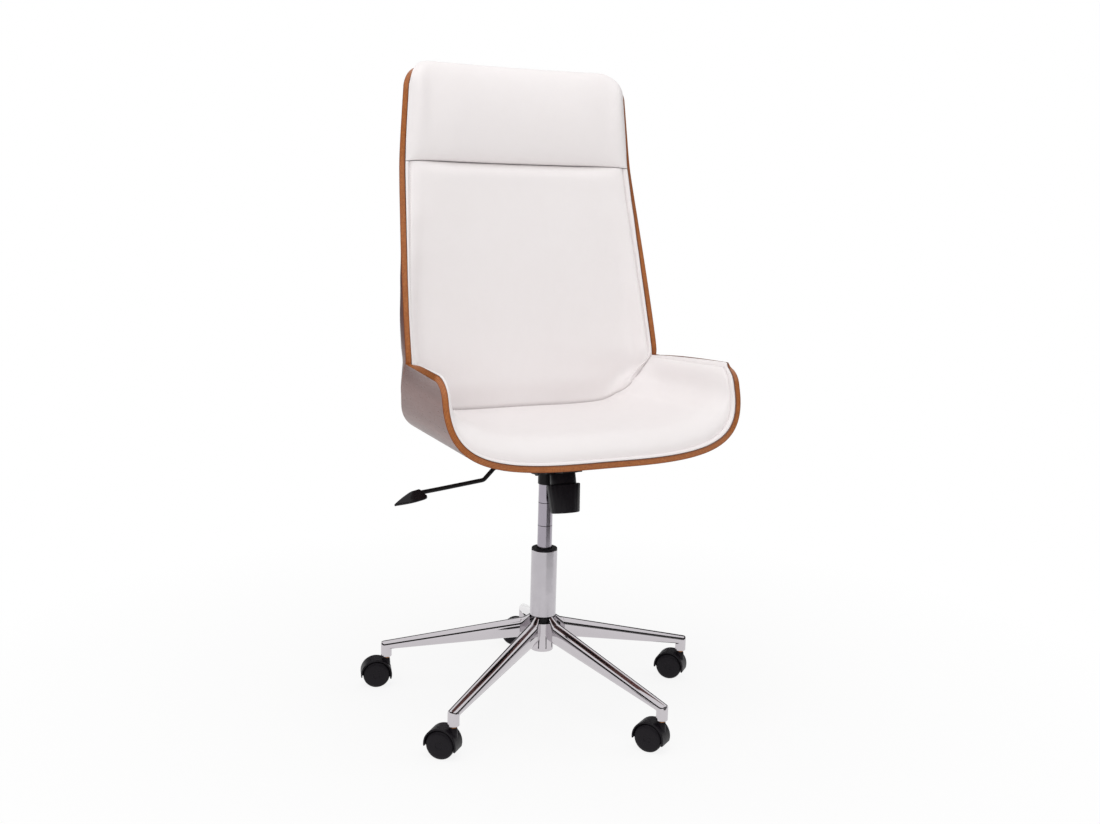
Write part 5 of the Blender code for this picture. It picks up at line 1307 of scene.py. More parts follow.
@dataclass
class PadSet:
    """Seat pad, back pad and headrest: a flat sewn border round crowned leatherette."""

    shells: ShellPair
    finishes: Finishes
    gap: float = 0.0008
    part_line: float = 0.0006
    inset: float = 0.0026
    border: float = 0.0120
    border_thickness: float = 0.0040
    rim_round: float = 0.0022
    groove_width: float = 0.0011
    groove_depth: float = 0.0016
    seat_thickness: float = 0.0430
    wing_thickness: float = 0.0130
    seat_roll: float = 0.0500
    wing_roll: float = 0.0260
    junction_middle: float = 0.0350
    junction_blends: tuple = ((0.0, 0.020, 0.0320), (0.010, 0.060, 0.0440), (0.070, 0.165, 0.0040))
    junction_bias: float = 0.0088
    junction_blend: float = 0.72
    tuck_depth: float = 0.0030
    seat_tuck: float = 0.010
    back_tuck: float = 0.012
    stitch_lift: float = 0.0004
    even: float = 1e-6
    back_thickness: float = 0.0360
    side_thickness: float = 0.0150
    back_roll: float = 0.0220
    back_fade: float = 0.13
    back_span: float = 0.52
    side_reach: float = 0.045
    head_thickness: float = 0.0500
    head_side: float = 0.0300
    head_rise: float = 0.0115
    head_roll: float = 0.030
    middle_rows: int = 34
    middle_columns: int = 44
    back_columns: int = 40
    back_rows: int = 44
    sewn_column: int = 8
    thread: Thread = Thread()

    def __post_init__(self) -> None:
        """Work out where the pads meet above each place of the seam."""
        form, seam = self.shells.form, self.shells.seam
        self.feet = [point.rear + point.mitre * (form.ply + self.gap) for point in seam]
        self.joins = [self.junction(point) for point in seam]
        self.across = [point.s for point in seam[: self.shells.floor_columns + 1]]
        self.wing_share = self.shells.back_shares[len(seam) - self.shells.floor_columns - 1]

    def junction(self, point: SeamPoint) -> Vector:
        """Where the two pads meet above a place of the seam.

        Args:
            point: the place.

        Returns:
            Top of the shared face of the pads.
        """
        reach = self.junction_middle
        for low, high, goal in self.junction_blends:
            reach = mix(reach, goal, ease(low, high, point.rise))
        bias = (point.seat_normal - point.back_normal) * self.junction_bias
        return point.rear + point.mitre * (self.shells.form.ply + self.gap + reach) + bias

    def tuck(self, distance: float, length: float) -> float:
        """How far the cover dives where the pads meet, at a distance from there."""
        return self.tuck_depth * (1.0 - roll(distance, length))

    def border_height(self, distance: float, sewn: bool = True) -> float:
        """Height of the flat border strip at a distance from the ply's edge.

        Args:
            distance: the distance.
            sewn: with the sewn groove.

        Returns:
            The height.
        """
        rim = self.border_thickness * roll(distance - self.inset, self.rim_round)
        groove = math.exp(-(((distance - self.border) / self.groove_width) ** 2)) if sewn else 0.0
        return rim - self.groove_depth * groove

    def seat_height(self, from_front: float, from_top: float, rise: float) -> float:
        """Thickness of the seat pad.

        Args:
            from_front: distance from the ply's front edge.
            from_top: distance from the wing's top edge, along the wall.
            rise: height above the seat's floor.

        Returns:
            Thickness at that place.
        """
        form = self.shells.form
        wing = ease(form.corner_height / 3, form.wing_height * 0.8, rise)
        full = mix(self.seat_thickness, self.wing_thickness, wing)
        crown = roll(from_front - self.border, self.seat_roll) * roll(from_top - self.border, self.wing_roll)
        # Where both distances are alike, the groove's line and its inner side are sewn, its outer side isn't
        even = self.even if from_front > self.border - self.even else -self.even
        edge = self.border_height(min(from_front, from_top), from_front <= from_top + even)
        return edge + (full - self.border_thickness) * crown

    def seat_strip(self, column: float, from_top: float, distances: Sequence[float]) -> Rows:
        """One column of the seat pad, from its front edge to the seam.

        Args:
            column: fractional column of the seam.
            from_top: distance from the wing's top edge.
            distances: distances from the front edge of the first rows.

        Returns:
            Points of the pad's foot and of its top.
        """
        seat, last = self.shells.seat, float(self.shells.seat_rows)
        front, rear = seat.place(0.0, column)[0], seat.place(last, column)[0]
        length = (rear - front).length
        join = part_way(self.joins, column)
        reach = clamp((join - front).dot((rear - front) / length) / length, 0.3, 1.0)
        rise = front.z - self.shells.form.seat_z

        def surface(share: float) -> Spot:
            """Free top of the pad and its normal at a share of the length."""
            at, normal = seat.place(share * last, column)
            return at + normal * (self.gap + self.seat_height(share * length, from_top, rise)), normal

        to_join = join - surface(reach)[0]
        start = distances[-1] / length
        steps = [(distance / length,) * 2 for distance in distances]
        for i in range(self.middle_rows):
            t = (i + 1) / self.middle_rows
            steps.append((mix(start, 1.0, t), mix(start, reach, t)))
        low, high = [], []
        for v, u in steps:
            p, normal = seat.place(v * last, column)
            top, top_normal = surface(u)
            top += to_join * ease(self.junction_blend, 1.0, u / reach)
            top -= top_normal * self.tuck((reach - u) * length, self.seat_tuck)
            if u > 0.97 * reach:
                top.y -= self.part_line * 0.7
            low.append(p + normal * self.gap)
            high.append(top)
        low[-1] = part_way(self.feet, column) - Vector((0.0, self.part_line, 0.0))
        return low, high

    def build_seat_pad(self) -> None:
        """Seat pad over the floor and both wings."""
        walked = path_lengths([point.front for point in self.shells.seam])
        picks = [index_of(walked, walked[-1] - distance) for distance in EDGE_STEPS + (0.046, 0.055)]
        count = self.middle_columns
        columns = [picks[-1] * k / count for k in range(count)] + picks[::-1]
        distances = EDGE_STEPS + (0.0455, 0.054, 0.064)
        strips = [self.seat_strip(c, walked[-1] - part_way(walked, c), distances) for c in columns]
        lower, upper = ([list(row) for row in zip(*side)] for side in zip(*strips))
        self.add_pad("seat", lower, upper)
        row, left = distances.index(self.border), self.sewn_column
        right, rows = 2 * len(columns) - 2 - left, range(row + 1, len(upper))
        cells = [(r, left) for r in reversed(rows)] + [(row, c) for c in range(left, right + 1)]
        self.sew("seat_front_stitches", upper, cells + [(r, right) for r in rows], 3)

    def add_pad(self, part: str, lower: Grid, upper: Grid) -> None:
        """Close a pad and let it stand for its CAD node.

        Args:
            part: part of the chair that it covers.
            lower: half grid of its foot.
            upper: half grid of its top.
        """
        pad = slab(part + "_cushion", lower, upper, [self.finishes["leatherette"]] * 3, 60.0)
        seat_piece(pad, "seat", [part + "_pad"])

    def sew(self, name: str, half: Grid, cells: Sequence[tuple[int, int]], span: int) -> None:
        """Lay stitches along cells of a pad's top.

        Args:
            name: name of the piece.
            half: half grid of the top.
            cells: row and column of each point, in the whole grid.
            span: rows on each side from which the normal is taken.
        """
        grid = [mirrored(row) for row in half]
        last_row, last_column = len(grid) - 1, len(grid[0]) - 1
        path, normals = [], []
        for r, c in cells:
            across = grid[r][min(c + 3, last_column)] - grid[r][max(c - 3, 0)]
            along = grid[min(r + span, last_row)][c] - grid[max(r - span, 0)][c]
            normals.append(across.cross(along).normalized())
            path.append(grid[r][c] + normals[-1] * self.stitch_lift)
        made = ringed(name, self.finishes["thread"], 60.0, self.thread.row(path, normals))
        seat_piece(made, "seat")

    def row_picks(self, row: float, inset: float) -> list[tuple[float, float]]:
        """Columns of one row of the back, denser at its edge.

        Args:
            row: fractional row of the shell.
            inset: distance of the last column from the edge.

        Returns:
            Fractional column and distance from the edge, for each one.
        """
        back = self.shells.back
        walked = path_lengths([back.place(row, float(c))[0] for c in range(len(back.inner[0]))])
        near = [inset + d - EDGE_STEPS[0] for d in EDGE_STEPS + (0.0455, 0.054, 0.063, 0.073)]
        far = [mix(walked[-1], near[-1], k / self.back_columns) for k in range(self.back_columns)]
        return [(index_of(walked, walked[-1] - d), d) for d in far + near[::-1]]

    def back_top(self, height: float, pick: float) -> tuple[Vector, Vector, float]:
        """Place on the back shell at a height, before the pad's thickness.

        Args:
            height: the height.
            pick: fractional column.

        Returns:
            Inner point, normal, and thickness of the pad, which is thinner on the side walls.
        """
        shells, head_z = self.shells, self.shells.form.head_z
        foot = shells.back.place(0.0, pick)[0].z
        share = clamp((height - foot) / (head_z - foot), 0.0, 1.0)
        at, normal = shells.back.place(index_of(shells.back_shares, share), pick)
        middle = self.back_thickness * roll(head_z - at.z + 0.004, 0.030)
        side = ease(0.34, 1.0, part_way(self.across, pick))
        return at, normal, mix(middle, min(self.side_thickness, middle), side)

    def wing_lift(self, share: float) -> Vector:
        """From the free edge of the back pad to its junction with the wing.

        Args:
            share: share of the way up the back.

        Returns:
            The way between them.
        """
        shells, form, floor = self.shells, self.shells.form, self.shells.floor_columns
        share = min(share, self.wing_share)
        rise = mix(form.corner_z, form.head_z, share) - form.seat_z
        join = part_way(self.joins, floor + index_of([point.rise for point in shells.seam[floor:]], rise))
        at, normal = shells.back.place(index_of(shells.back_shares, share), float(floor))
        return join - at - normal * (self.gap + self.side_thickness)

    def back_row(self, share: float) -> Rows:
        """One row of the back pad, from the middle to the edge.

        Args:
            share: share of the way up the back.

        Returns:
            Points of the pad's foot and of its top.
        """
        shells, form = self.shells, self.shells.form
        row = index_of(shells.back_shares, share)
        open_edge = ease(self.wing_share - 0.01, self.wing_share + 0.035, share)
        fade = 1.0 - ease(0.0, self.back_fade, share)
        lift = self.wing_lift(share) * (1.0 - open_edge) * (1.0 - fade)
        low, high = [], []
        for pick, distance in self.row_picks(row, mix(0.0, self.inset, open_edge)):
            p, normal = shells.back.place(row, pick)
            join = part_way(self.joins, pick)
            at, at_normal, height = self.back_top(mix(join.z, form.head_z, share), pick)
            rim = self.border_height(distance)
            rim += (height - self.border_thickness) * roll(distance - self.border, self.back_roll)
            top = at + at_normal * (self.gap + mix(height, rim, open_edge))
            zero, zero_normal, zero_height = self.back_top(join.z, pick)
            top += (join - zero - zero_normal * (self.gap + zero_height)) * fade
            top += lift * (1.0 - ease(0.0, self.side_reach, distance))
            top -= at_normal * self.tuck(share * self.back_span, self.back_tuck)
            low.append(p + normal * self.gap if share > 0.0 else part_way(self.feet, pick))
            high.append(top)
        return low, high

    def build_back_pad(self) -> None:
        """Back pad from its junction with the seat pad up to the seam under the headrest."""
        shares = [0.0, 0.006, 0.014, 0.025, 0.04, 0.055, 0.07, 0.085, 0.10, 0.115, 0.13]
        shares += [mix(0.13, 0.93, (k + 1) / self.back_rows) for k in range(self.back_rows)]
        shares += [0.945, 0.958, 0.969, 0.978, 0.985, 0.990, 0.994, 0.9965, 0.998]
        lower, upper = zip(*(self.back_row(share) for share in shares))
        self.add_pad("back", lower, upper)
        rows = [r for r, share in enumerate(shares) if share > self.wing_share + 0.04]
        wide = 2 * len(upper[0]) - 1
        for side, column in (("right", wide - 1 - self.sewn_column), ("left", self.sewn_column)):
            self.sew("back_side_stitches_" + side, upper, [(r, column) for r in rows], 1)

    def head_row(self, t: float) -> Rows:
        """One row of the headrest, puffed more above its middle than below.

        Args:
            t: share of the way up the roll.

        Returns:
            Points of its foot and of its top.
        """
        shells = self.shells
        first, last = len(shells.back_shares) - 1 + 0.04, len(shells.back.inner) - 1 - 0.15
        row = mix(first, last, 0.5 - 0.5 * math.cos(math.pi * t))
        arch = math.sin(math.pi * t)
        swell = 0.34 + 0.66 * arch**0.80 if t < 0.5 else 0.10 + 0.90 * arch**0.52
        low, high = [], []
        for pick, distance in self.row_picks(row, self.inset):
            p, normal = shells.back.place(row, pick)
            side = ease(0.3, 0.9, part_way(self.across, pick))
            depth = mix(self.head_thickness, self.head_side, side)
            depth *= swell * (0.10 + 0.90 * roll(distance - self.inset, self.head_roll))
            rise = self.head_rise * ease(0.5, 1.0, t) * roll(distance, self.head_roll)
            low.append(p + normal * self.gap)
            high.append(low[-1] + normal * depth + Vector((0.0, 0.0, rise)))
        return low, high

    def build_headrest(self) -> None:
        """Puffed roll in front of the shell's upper part, proud of its top edge."""
        steps = 44
        lower, upper = zip(*(self.head_row(step / steps) for step in range(steps + 1)))
        self.add_pad("headrest", lower, upper)

    def build(self) -> None:
        """Build the three pads."""
        self.build_seat_pad()
        self.build_back_pad()
        self.build_headrest()


# Base and casters


@dataclass
class CasterSet:
    """Five twin-wheel casters with hoods, stems and treads."""

    finishes: Finishes
    circle_radius: float = 0.3154
    trail: float = 0.0198
    wheel_radius: float = 0.0262
    wheel_width: float = 0.0117
    web: float = 0.0108
    gap: float = 0.0003
    hood_clear: float = 0.0018
    hood_wall: float = 0.0027
    tail_drop: float = 8.0
    stem_drop: float = 17.0
    arc_steps: int = 40
    boss_radius: float = 0.0072
    boss_rise: float = 0.0073
    flange_radius: float = 0.0064
    flange_thickness: float = 0.0030
    flange_round: float = 0.0006
    stem_radius: float = 0.0055
    stem_length: float = 0.0165
    spigot_radius: float = 0.0040
    spigot_length: float = 0.0190

    @property
    def hood_outer(self) -> float:
        """Radius of the hood about the axle."""
        return self.wheel_radius + self.hood_clear + self.hood_wall

    @property
    def boss_top(self) -> float:
        """Height of the stem boss."""
        return self.wheel_radius + math.sqrt(self.hood_outer**2 - self.trail**2) + self.boss_rise

    def placement(self, side: str) -> Matrix:
        """Swivel axis of one caster, at the floor, turned to its heading.

        Args:
            side: name of its leg.

        Returns:
            The placement.
        """
        azimuth, heading = LEG_PLACES[side]
        a = math.radians(azimuth)
        spot = Vector((self.circle_radius * math.cos(a), self.circle_radius * math.sin(a), 0.0))
        return Matrix.Translation(spot) @ Matrix.Rotation(math.radians(heading), 4, "Z")

    def build_wheel(self, side: str, which: str) -> None:
        """One wheel with its moulded face, and a finish of its own on the rolling face.

        Args:
            side: name of its leg.
            which: a or b, the wheel's side of the web.
        """
        r, w = self.wheel_radius, self.wheel_width
        profile = [
            (0.0, w - 0.0010), (r * 0.24, w - 0.0010), (r * 0.28, w - 0.0002), (r * 0.70, w),
            (r - 0.0030, w - 0.0006), (r - 0.0010, w - 0.0022), (r, w - 0.0045), (r, 0.0030),
            (r - 0.0015, 0.0006), (r - 0.0030, 0.0), (0.0, 0.0),
        ]
        sign = 1.0 if which == "a" else -1.0
        turn = Matrix.Rotation(math.radians(90), 4, "Y")
        if which == "b":
            turn = Matrix.Rotation(math.radians(180), 4, "Z") @ turn
        offset = Matrix.Translation(Vector((sign * (self.web / 2 + 2 * self.gap), -self.trail, r)))
        place = self.placement(side) @ offset
        name = "wheel_" + side + "_" + which
        made = turned(name + "_moulded", profile, self.finishes["plastic"], place @ turn, sides=64)
        made.data.materials.append(self.finishes["tread"])
        back = place.inverted()
        for polygon in made.data.polygons:
            local = back @ polygon.center
            if math.hypot(local.y, local.z) > r - 0.0004:
                polygon.material_index = 1
        seat_piece(made, name, [name])

    def arc(self, radius: float) -> Profile:
        """Side view of the hood at a radius about the axle.

        Args:
            radius: the radius.

        Returns:
            Points from the stem's side to the tail.
        """
        first, last = -math.radians(self.stem_drop), math.pi + math.radians(self.tail_drop)
        angles = [mix(first, last, i / self.arc_steps) for i in range(self.arc_steps + 1)]
        return [(radius * math.cos(a), radius * math.sin(a)) for a in angles]

    def build_hood(self, side: str) -> None:
        """Curved guard over both wheels, the middle web that carries the axle, and the boss under the stem.

        Args:
            side: name of its leg.
        """
        place = self.placement(side)
        frame = place @ Matrix.Translation(Vector((0.0, -self.trail, self.wheel_radius)))
        frame = frame @ Matrix(((0, 0, 1, 0), (1, 0, 0, 0), (0, 1, 0, 0), (0, 0, 0, 1)))
        half = self.web / 2 + 2 * self.gap + self.wheel_width - self.hood_wall / 4
        inner = self.arc(self.wheel_radius + self.hood_clear)[::-1]
        guard = []
        for x, shrink in ((-half, 0.0008), (-half + 0.001, 0.0), (half - 0.001, 0.0), (half, 0.0008)):
            section = self.arc(self.hood_outer - shrink) + inner
            guard.append([frame @ Vector((u, v, x)) for u, v in section])
        outline = self.arc(self.wheel_radius + self.hood_clear + self.hood_wall * 0.4)
        web = [[frame @ Vector((u, v, x)) for u, v in outline] for x in (-self.web / 2, self.web / 2)]
        top, low = self.boss_top, self.wheel_radius + self.boss_radius + 0.004
        wide, bore = self.boss_radius, self.spigot_radius + 0.0003
        profile = [(wide + 0.0012, low), (wide + 0.0006, top - 0.010)]
        profile += [(wide, top - 0.0014), (wide - 0.0010, top)]
        profile += [(bore, top), (bore, top - self.spigot_length)]
        plastic = self.finishes["plastic"]
        for made in (
            ringed("caster_guard_" + side, plastic, 30.0, [guard]),
            ringed("caster_web_" + side, plastic, 30.0, [web]),
            turned("caster_boss_" + side, profile, plastic, place, True, 40),
        ):
            seat_piece(made, "caster_" + side, ["caster_hood_" + side])

    def build_stem(self, side: str) -> None:
        """Steel stem: spigot, bronzed flange and plain stem.

        Args:
            side: name of its leg.
        """
        low = self.boss_top + self.gap
        high, foot = low + self.flange_thickness, low - self.spigot_length
        tip = high + self.stem_length
        flange, edge = self.flange_radius, self.flange_round
        profile = [
            (0.0, foot), (self.spigot_radius, foot), (self.spigot_radius, low), (flange - edge, low),
            (flange, low + edge), (flange, high - edge), (flange - edge, high), (self.stem_radius, high),
            (self.stem_radius, tip), (0.0, tip),
        ]
        bronzed, place = self.finishes["bronzed"], self.placement(side)
        made = turned("caster_pintle_" + side, profile, bronzed, place, sides=40)
        seat_piece(made, "base", ["caster_stem_" + side])

    def build(self) -> None:
        """Build all casters."""
        for side in LEG_PLACES:
            self.build_stem(side)
            self.build_hood(side)
            for which in "ab":
                self.build_wheel(side, which)


@dataclass
class StarBase:
    """Hub, five tapered legs that turn down into their sockets, and the column tube."""

    finishes: Finishes
    casters: CasterSet
    socket_radius: float = 0.0107
    socket_depth: float = 0.0175
    inner_height: float = 0.0157
    outer_height: float = 0.0290
    root_width: float = 0.0264
    root_height: float = 0.0370
    root_rise: float = 0.0672
    leg_sides: int = 48
    hub_reach: float = 0.0415
    gap: float = 0.0003
    foot_drop: float = 0.0228
    foot_radius: float = 0.0220
    crown_rise: float = 0.0100
    tube_radius: float = 0.0250
    tube_wall: float = 0.0016
    tube_length: float = 0.1290
    rod_bore: float = 0.0053
    bush_bore: float = 0.0143
    bush_length: float = 0.0700
    spigot_radius: float = 0.0195
    bore_wall: float = 0.0032

    @property
    def mouth(self) -> float:
        """Height of the socket mouths."""
        return self.casters.boss_top + 2 * self.gap + self.casters.flange_thickness

    @property
    def root_bottom(self) -> float:
        """Underside of the legs at the hub."""
        return self.mouth + self.root_rise

    @property
    def root_top(self) -> float:
        """Top of the legs at the hub."""
        return self.root_bottom + self.root_height

    @property
    def shoulder_top(self) -> float:
        """Height at which the tube has its full width."""
        return self.root_top + self.crown_rise + 0.0012

    @property
    def tube_top(self) -> float:
        """Top of the column tube."""
        return self.shoulder_top + self.tube_length

    def leg_section(self, width: float, top: float, x: float) -> list[Vector]:
        """Section of a leg: half-round top, straight sides, rounded lower corners.

        Args:
            width: its width.
            top: height of its top.
            x: place along the leg.

        Returns:
            The ring of points.
        """
        half, quarter, bottom = width / 2, self.leg_sides // 4, self.root_bottom
        shoulder, corner = top - half, half * 0.45
        upper = [(half * math.sin(a), shoulder + half * math.cos(a)) for a in round_angles(self.leg_sides)]
        path = [Vector((half, shoulder))]
        for i in range(9):
            a = math.pi / 2 * i / 8
            y, z = half - corner * (1.0 - math.cos(a)), bottom + corner * (1.0 - math.sin(a))
            path.append(Vector((y, z)))
        path.append(Vector((0.0, bottom)))
        walked = path_lengths(path)
        stops = [index_of(walked, walked[-1] * k / quarter) for k in range(quarter + 1)]
        lower = [tuple(part_way(path, stop)) for stop in stops]
        other_side = [(-y, z) for y, z in lower[-2:0:-1]]
        ring = upper[: quarter + 1] + lower[1:] + other_side + upper[3 * quarter :]
        return [Vector((x, y, z)) for y, z in ring]

    def build_leg(self, side: str) -> None:
        """One tapered leg with its mitred bend and socket.

        Args:
            side: name of the leg.
        """
        reach, radius = self.casters.circle_radius, self.socket_radius
        sides, mouth = self.leg_sides, self.mouth
        bore = self.casters.stem_radius + self.gap
        root = self.leg_section(self.root_width, self.root_top, self.hub_reach + self.gap)
        mitre = circle(radius, mouth, sides, reach)
        for p, a in zip(mitre, round_angles(sides)):
            p.z += mix(self.inner_height, self.outer_height, 0.5 + 0.5 * math.cos(a))
        before = [mix(a, b, 0.985) for a, b in zip(root, mitre)]
        after = [mix(a, b, 0.10) for a, b in zip(mitre, circle(radius, mouth, sides, reach))]
        knee = [b * 0.25 + m * 0.5 + a * 0.25 for b, m, a in zip(before, mitre, after)]
        rings = [root, before, knee, after]
        for size, z in ((radius, 0.0008), (radius - 0.0008, 0.0), (bore, 0.0), (bore, self.socket_depth)):
            rings.append(circle(size, mouth + z, sides, reach))
        turn = Matrix.Rotation(math.radians(LEG_PLACES[side][0]), 4, "Z")
        rings = [[turn @ p for p in ring] for ring in rings]
        made = ringed("leg_" + side + "_chromed", self.finishes["chrome"], 32.0, [rings])
        seat_piece(made, "base", ["leg_" + side])

    def build_column(self) -> None:
        """Column tube with its rolled foot, and the black bush in its mouth."""
        outer, inner = self.tube_radius, self.tube_radius - self.tube_wall
        bore, tube_top = self.rod_bore, self.tube_top
        shoulder, low = self.shoulder_top, self.shoulder_top - 0.0080
        foot = self.root_bottom - self.foot_drop + 0.0024
        spigot, within = self.spigot_radius, self.spigot_radius - self.tube_wall
        profile = [
            (bore, foot), (spigot, foot), (spigot, low), (outer - 0.0012, shoulder - 0.0010),
            (outer, shoulder), (outer, tube_top - 0.0005), (outer - 0.0005, tube_top), (inner, tube_top),
            (inner, shoulder), (within, low), (within, foot + 0.0025), (bore, foot + 0.0025),
        ]
        tube = turned("column_tube_satin", profile, self.finishes["satin"], closed=True, sides=96)
        tube.data.materials.append(self.finishes["steel"])
        for face in tube.data.polygons:
            if face.center.z < shoulder - 0.0012:
                face.material_index = 1
        seat_piece(tube, "base", ["column_tube"])
        seat, top = tube_top + self.gap, tube_top + self.gap + 0.0035
        wide, narrow = outer - self.gap, inner - self.gap
        bore, bottom = self.bush_bore, top - self.bush_length
        profile = [(bore, bottom), (narrow, bottom), (narrow, seat), (wide, seat), (wide, top - 0.0010)]
        profile += [(outer - 0.0012, top), (0.0150, top), (bore, top - 0.0006)]
        bush = turned("column_bush_moulded", profile, self.finishes["plastic"], closed=True, sides=96)
        seat_piece(bush, "base", ["column_bush"])

    def build_hub(self) -> None:
        """Cast hub: a spool round the column's foot with five domed lobes that grow wider to the legs."""
        bottom, foot = self.root_bottom - self.foot_drop, self.foot_radius
        waist = self.root_top + self.crown_rise - self.root_width / 2
        bore, flare = self.spigot_radius + self.gap, self.foot_drop / 3
        core = bore + self.bore_wall
        profile = [(bore, bottom), (foot - 0.0016, bottom), (foot - 0.0005, bottom + 0.0005)]
        profile += [(foot, bottom + 0.0016), (foot, bottom + flare)]
        for i in range(1, 13):
            u = i / 12
            dip = math.sin(math.pi * u) ** 0.8 * 0.0012
            profile.append((mix(foot, core, u) - dip, mix(bottom + flare, waist - flare / 2, u)))
        profile += [(core + 0.0012, waist - 0.0006), (core + 0.0012, waist), (bore, waist)]
        sections = [(self.spigot_radius + 0.0013, 0.38, self.crown_rise - 0.0056)]
        sections.append((self.tube_radius - 0.0007, 0.48, self.crown_rise - 0.0006))
        for i in range(9):
            u = i / 8
            x = mix(self.tube_radius, self.hub_reach, u)
            sections.append((x, mix(0.50, 1.0, u**1.1), self.crown_rise * (1.0 - u) ** 1.32))
        width, top = self.root_width, self.root_top
        lobe = [self.leg_section(width * share, top + rise, x) for x, share, rise in sections]
        turns = [Matrix.Rotation(math.radians(azimuth), 4, "Z") for azimuth, _ in LEG_PLACES.values()]
        lobes = [[[turn @ p for p in ring] for ring in lobe] for turn in turns]
        made = ringed("hub_chromed", self.finishes["chrome"], 38.0, lobes, [turned_rings(profile, 96)])
        seat_piece(made, "base", ["base_hub"])

    def build(self) -> None:
        """Build the hub, the legs and the column."""
        for side in LEG_PLACES:
            self.build_leg(side)
        self.build_hub()
        self.build_column()


@dataclass
class GasLift:
    """Pressure cylinder with its two grooves, and a bore for the piston rod."""

    finishes: Finishes
    tube_top: float
    radius: float = 0.0140
    taper_radius: float = 0.0126
    overlap: float = 0.0800
    show: float = 0.1290
    groove: float = 0.0006
    marks: tuple = (0.0480, 0.0930)
    rod_bore: float = 0.0053
    bore_top: float = 0.0720
    valve_bore: float = 0.0048
    valve_depth: float = 0.0150

    def build(self) -> None:
        """Build the cylinder from its foot in the tube to the top of its taper."""
        top, zero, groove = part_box("gas_cylinder")[1].z, self.tube_top, self.groove
        profile = [(0.0, zero + self.bore_top), (self.rod_bore, zero + self.bore_top)]
        profile += [(self.rod_bore, zero - self.overlap), (self.radius, zero - self.overlap)]
        for z in (zero + mark for mark in self.marks):
            profile += [(self.radius, z - groove), (self.radius - groove, z), (self.radius, z + groove)]
        floor = top - self.valve_depth
        profile += [(self.radius, zero + self.show - groove), (self.taper_radius, top)]
        profile += [(self.valve_bore, top), (self.valve_bore, floor), (0.0, floor)]
        finish = self.finishes["cylinder"]
        made = turned("gas_cylinder_satin", profile, finish, sides=80, smooth_angle=30.0)
        seat_piece(made, "support", ["gas_cylinder"])


@dataclass
class TiltMechanism:
    """Tension knob and the cup round the tilt spring."""

    finishes: Finishes
    collar_top: float
    lean: float = 12.0
    axis_front: float = 0.0690
    drop: float = 0.0225
    pivot_rise: float = 0.0125
    height: float = 0.0534
    top_radius: float = 0.0315
    foot_radius: float = 0.0272
    wall: float = 0.0030
    boss_radius: float = 0.0080
    boss_height: float = 0.0200
    bolt_bore: float = 0.0043
    shroud_radius: float = 0.0245
    shroud_lip: float = 0.0200
    shroud_y: float = -0.0158
    sheet: float = 0.0020
    flutes: int = 18
    flute_depth: float = 0.0004

    @property
    def frame(self) -> Matrix:
        """Axis of the knob.

        Returns:
            Placement of the axis, at the knob's top.
        """
        up = Vector((0.0, math.sin(math.radians(self.lean)), math.cos(math.radians(self.lean))))
        top = Vector((0.0, -self.axis_front, self.collar_top + self.pivot_rise - self.drop))
        return Matrix.Translation(top) @ up.to_track_quat("Z", "X").to_matrix().to_4x4()

    def build_knob(self) -> None:
        """Tapered knob with shallow flutes."""
        h, foot, top = -self.height, self.foot_radius, self.top_radius
        floor = h + self.wall
        start = [(0.0, h), (foot - 0.0022, h), (foot - 0.0006, h + 0.0007)]
        fluted = [(foot, h + 0.0022), (top, -0.0016)]
        rest = [
            (top - 0.0005, -0.0005), (top - 0.0016, 0.0), (top - self.wall, 0.0), (foot - self.wall, floor),
            (self.boss_radius, floor), (self.boss_radius, h + self.boss_height),
            (self.bolt_bore, h + self.boss_height), (self.bolt_bore, floor), (0.0, floor),
        ]
        sides, frame = self.flutes * 8, self.frame
        flutes = []
        for radius, z in fluted:
            ring = []
            for a in round_angles(sides):
                r = radius - self.flute_depth * (0.5 + 0.5 * math.cos(self.flutes * a)) ** 3
                ring.append(frame @ Vector((r * math.cos(a), r * math.sin(a), z)))
            flutes.append(ring)
        rings = turned_rings(start, sides, frame) + flutes + turned_rings(rest, sides, frame)
        made = ringed("tension_knob_moulded", self.finishes["plastic"], 35.0, [rings])
        seat_piece(made, "knob", ["tension_knob"])

    def build_shroud(self) -> None:
        """Cup round the tilt spring above the knob."""
        wide, thick, bore = self.shroud_radius, self.sheet, self.bolt_bore
        skirt = wide - thick
        way = Vector((0.0, self.shroud_y, self.collar_top)) - self.frame.translation
        top = way.dot(self.frame.to_3x3() @ Vector((0.0, 0.0, 1.0))) - 0.0003
        profile = [
            (skirt - thick, -self.shroud_lip), (skirt, -self.shroud_lip), (wide, 0.0),
            (wide - 0.0006, top - 0.0016), (wide - 0.0014, top - 0.0004), (wide - 0.0026, top),
            (bore, top), (bore, top - thick), (skirt - thick, top - thick),
        ]
        made = turned("spring_cup", profile, self.finishes["plastic"], self.frame, closed=True)
        seat_piece(made, "support", ["spring_shroud"])

    def build(self) -> None:
        """Build the knob and the cup."""
        self.build_knob()
        self.build_shroud()


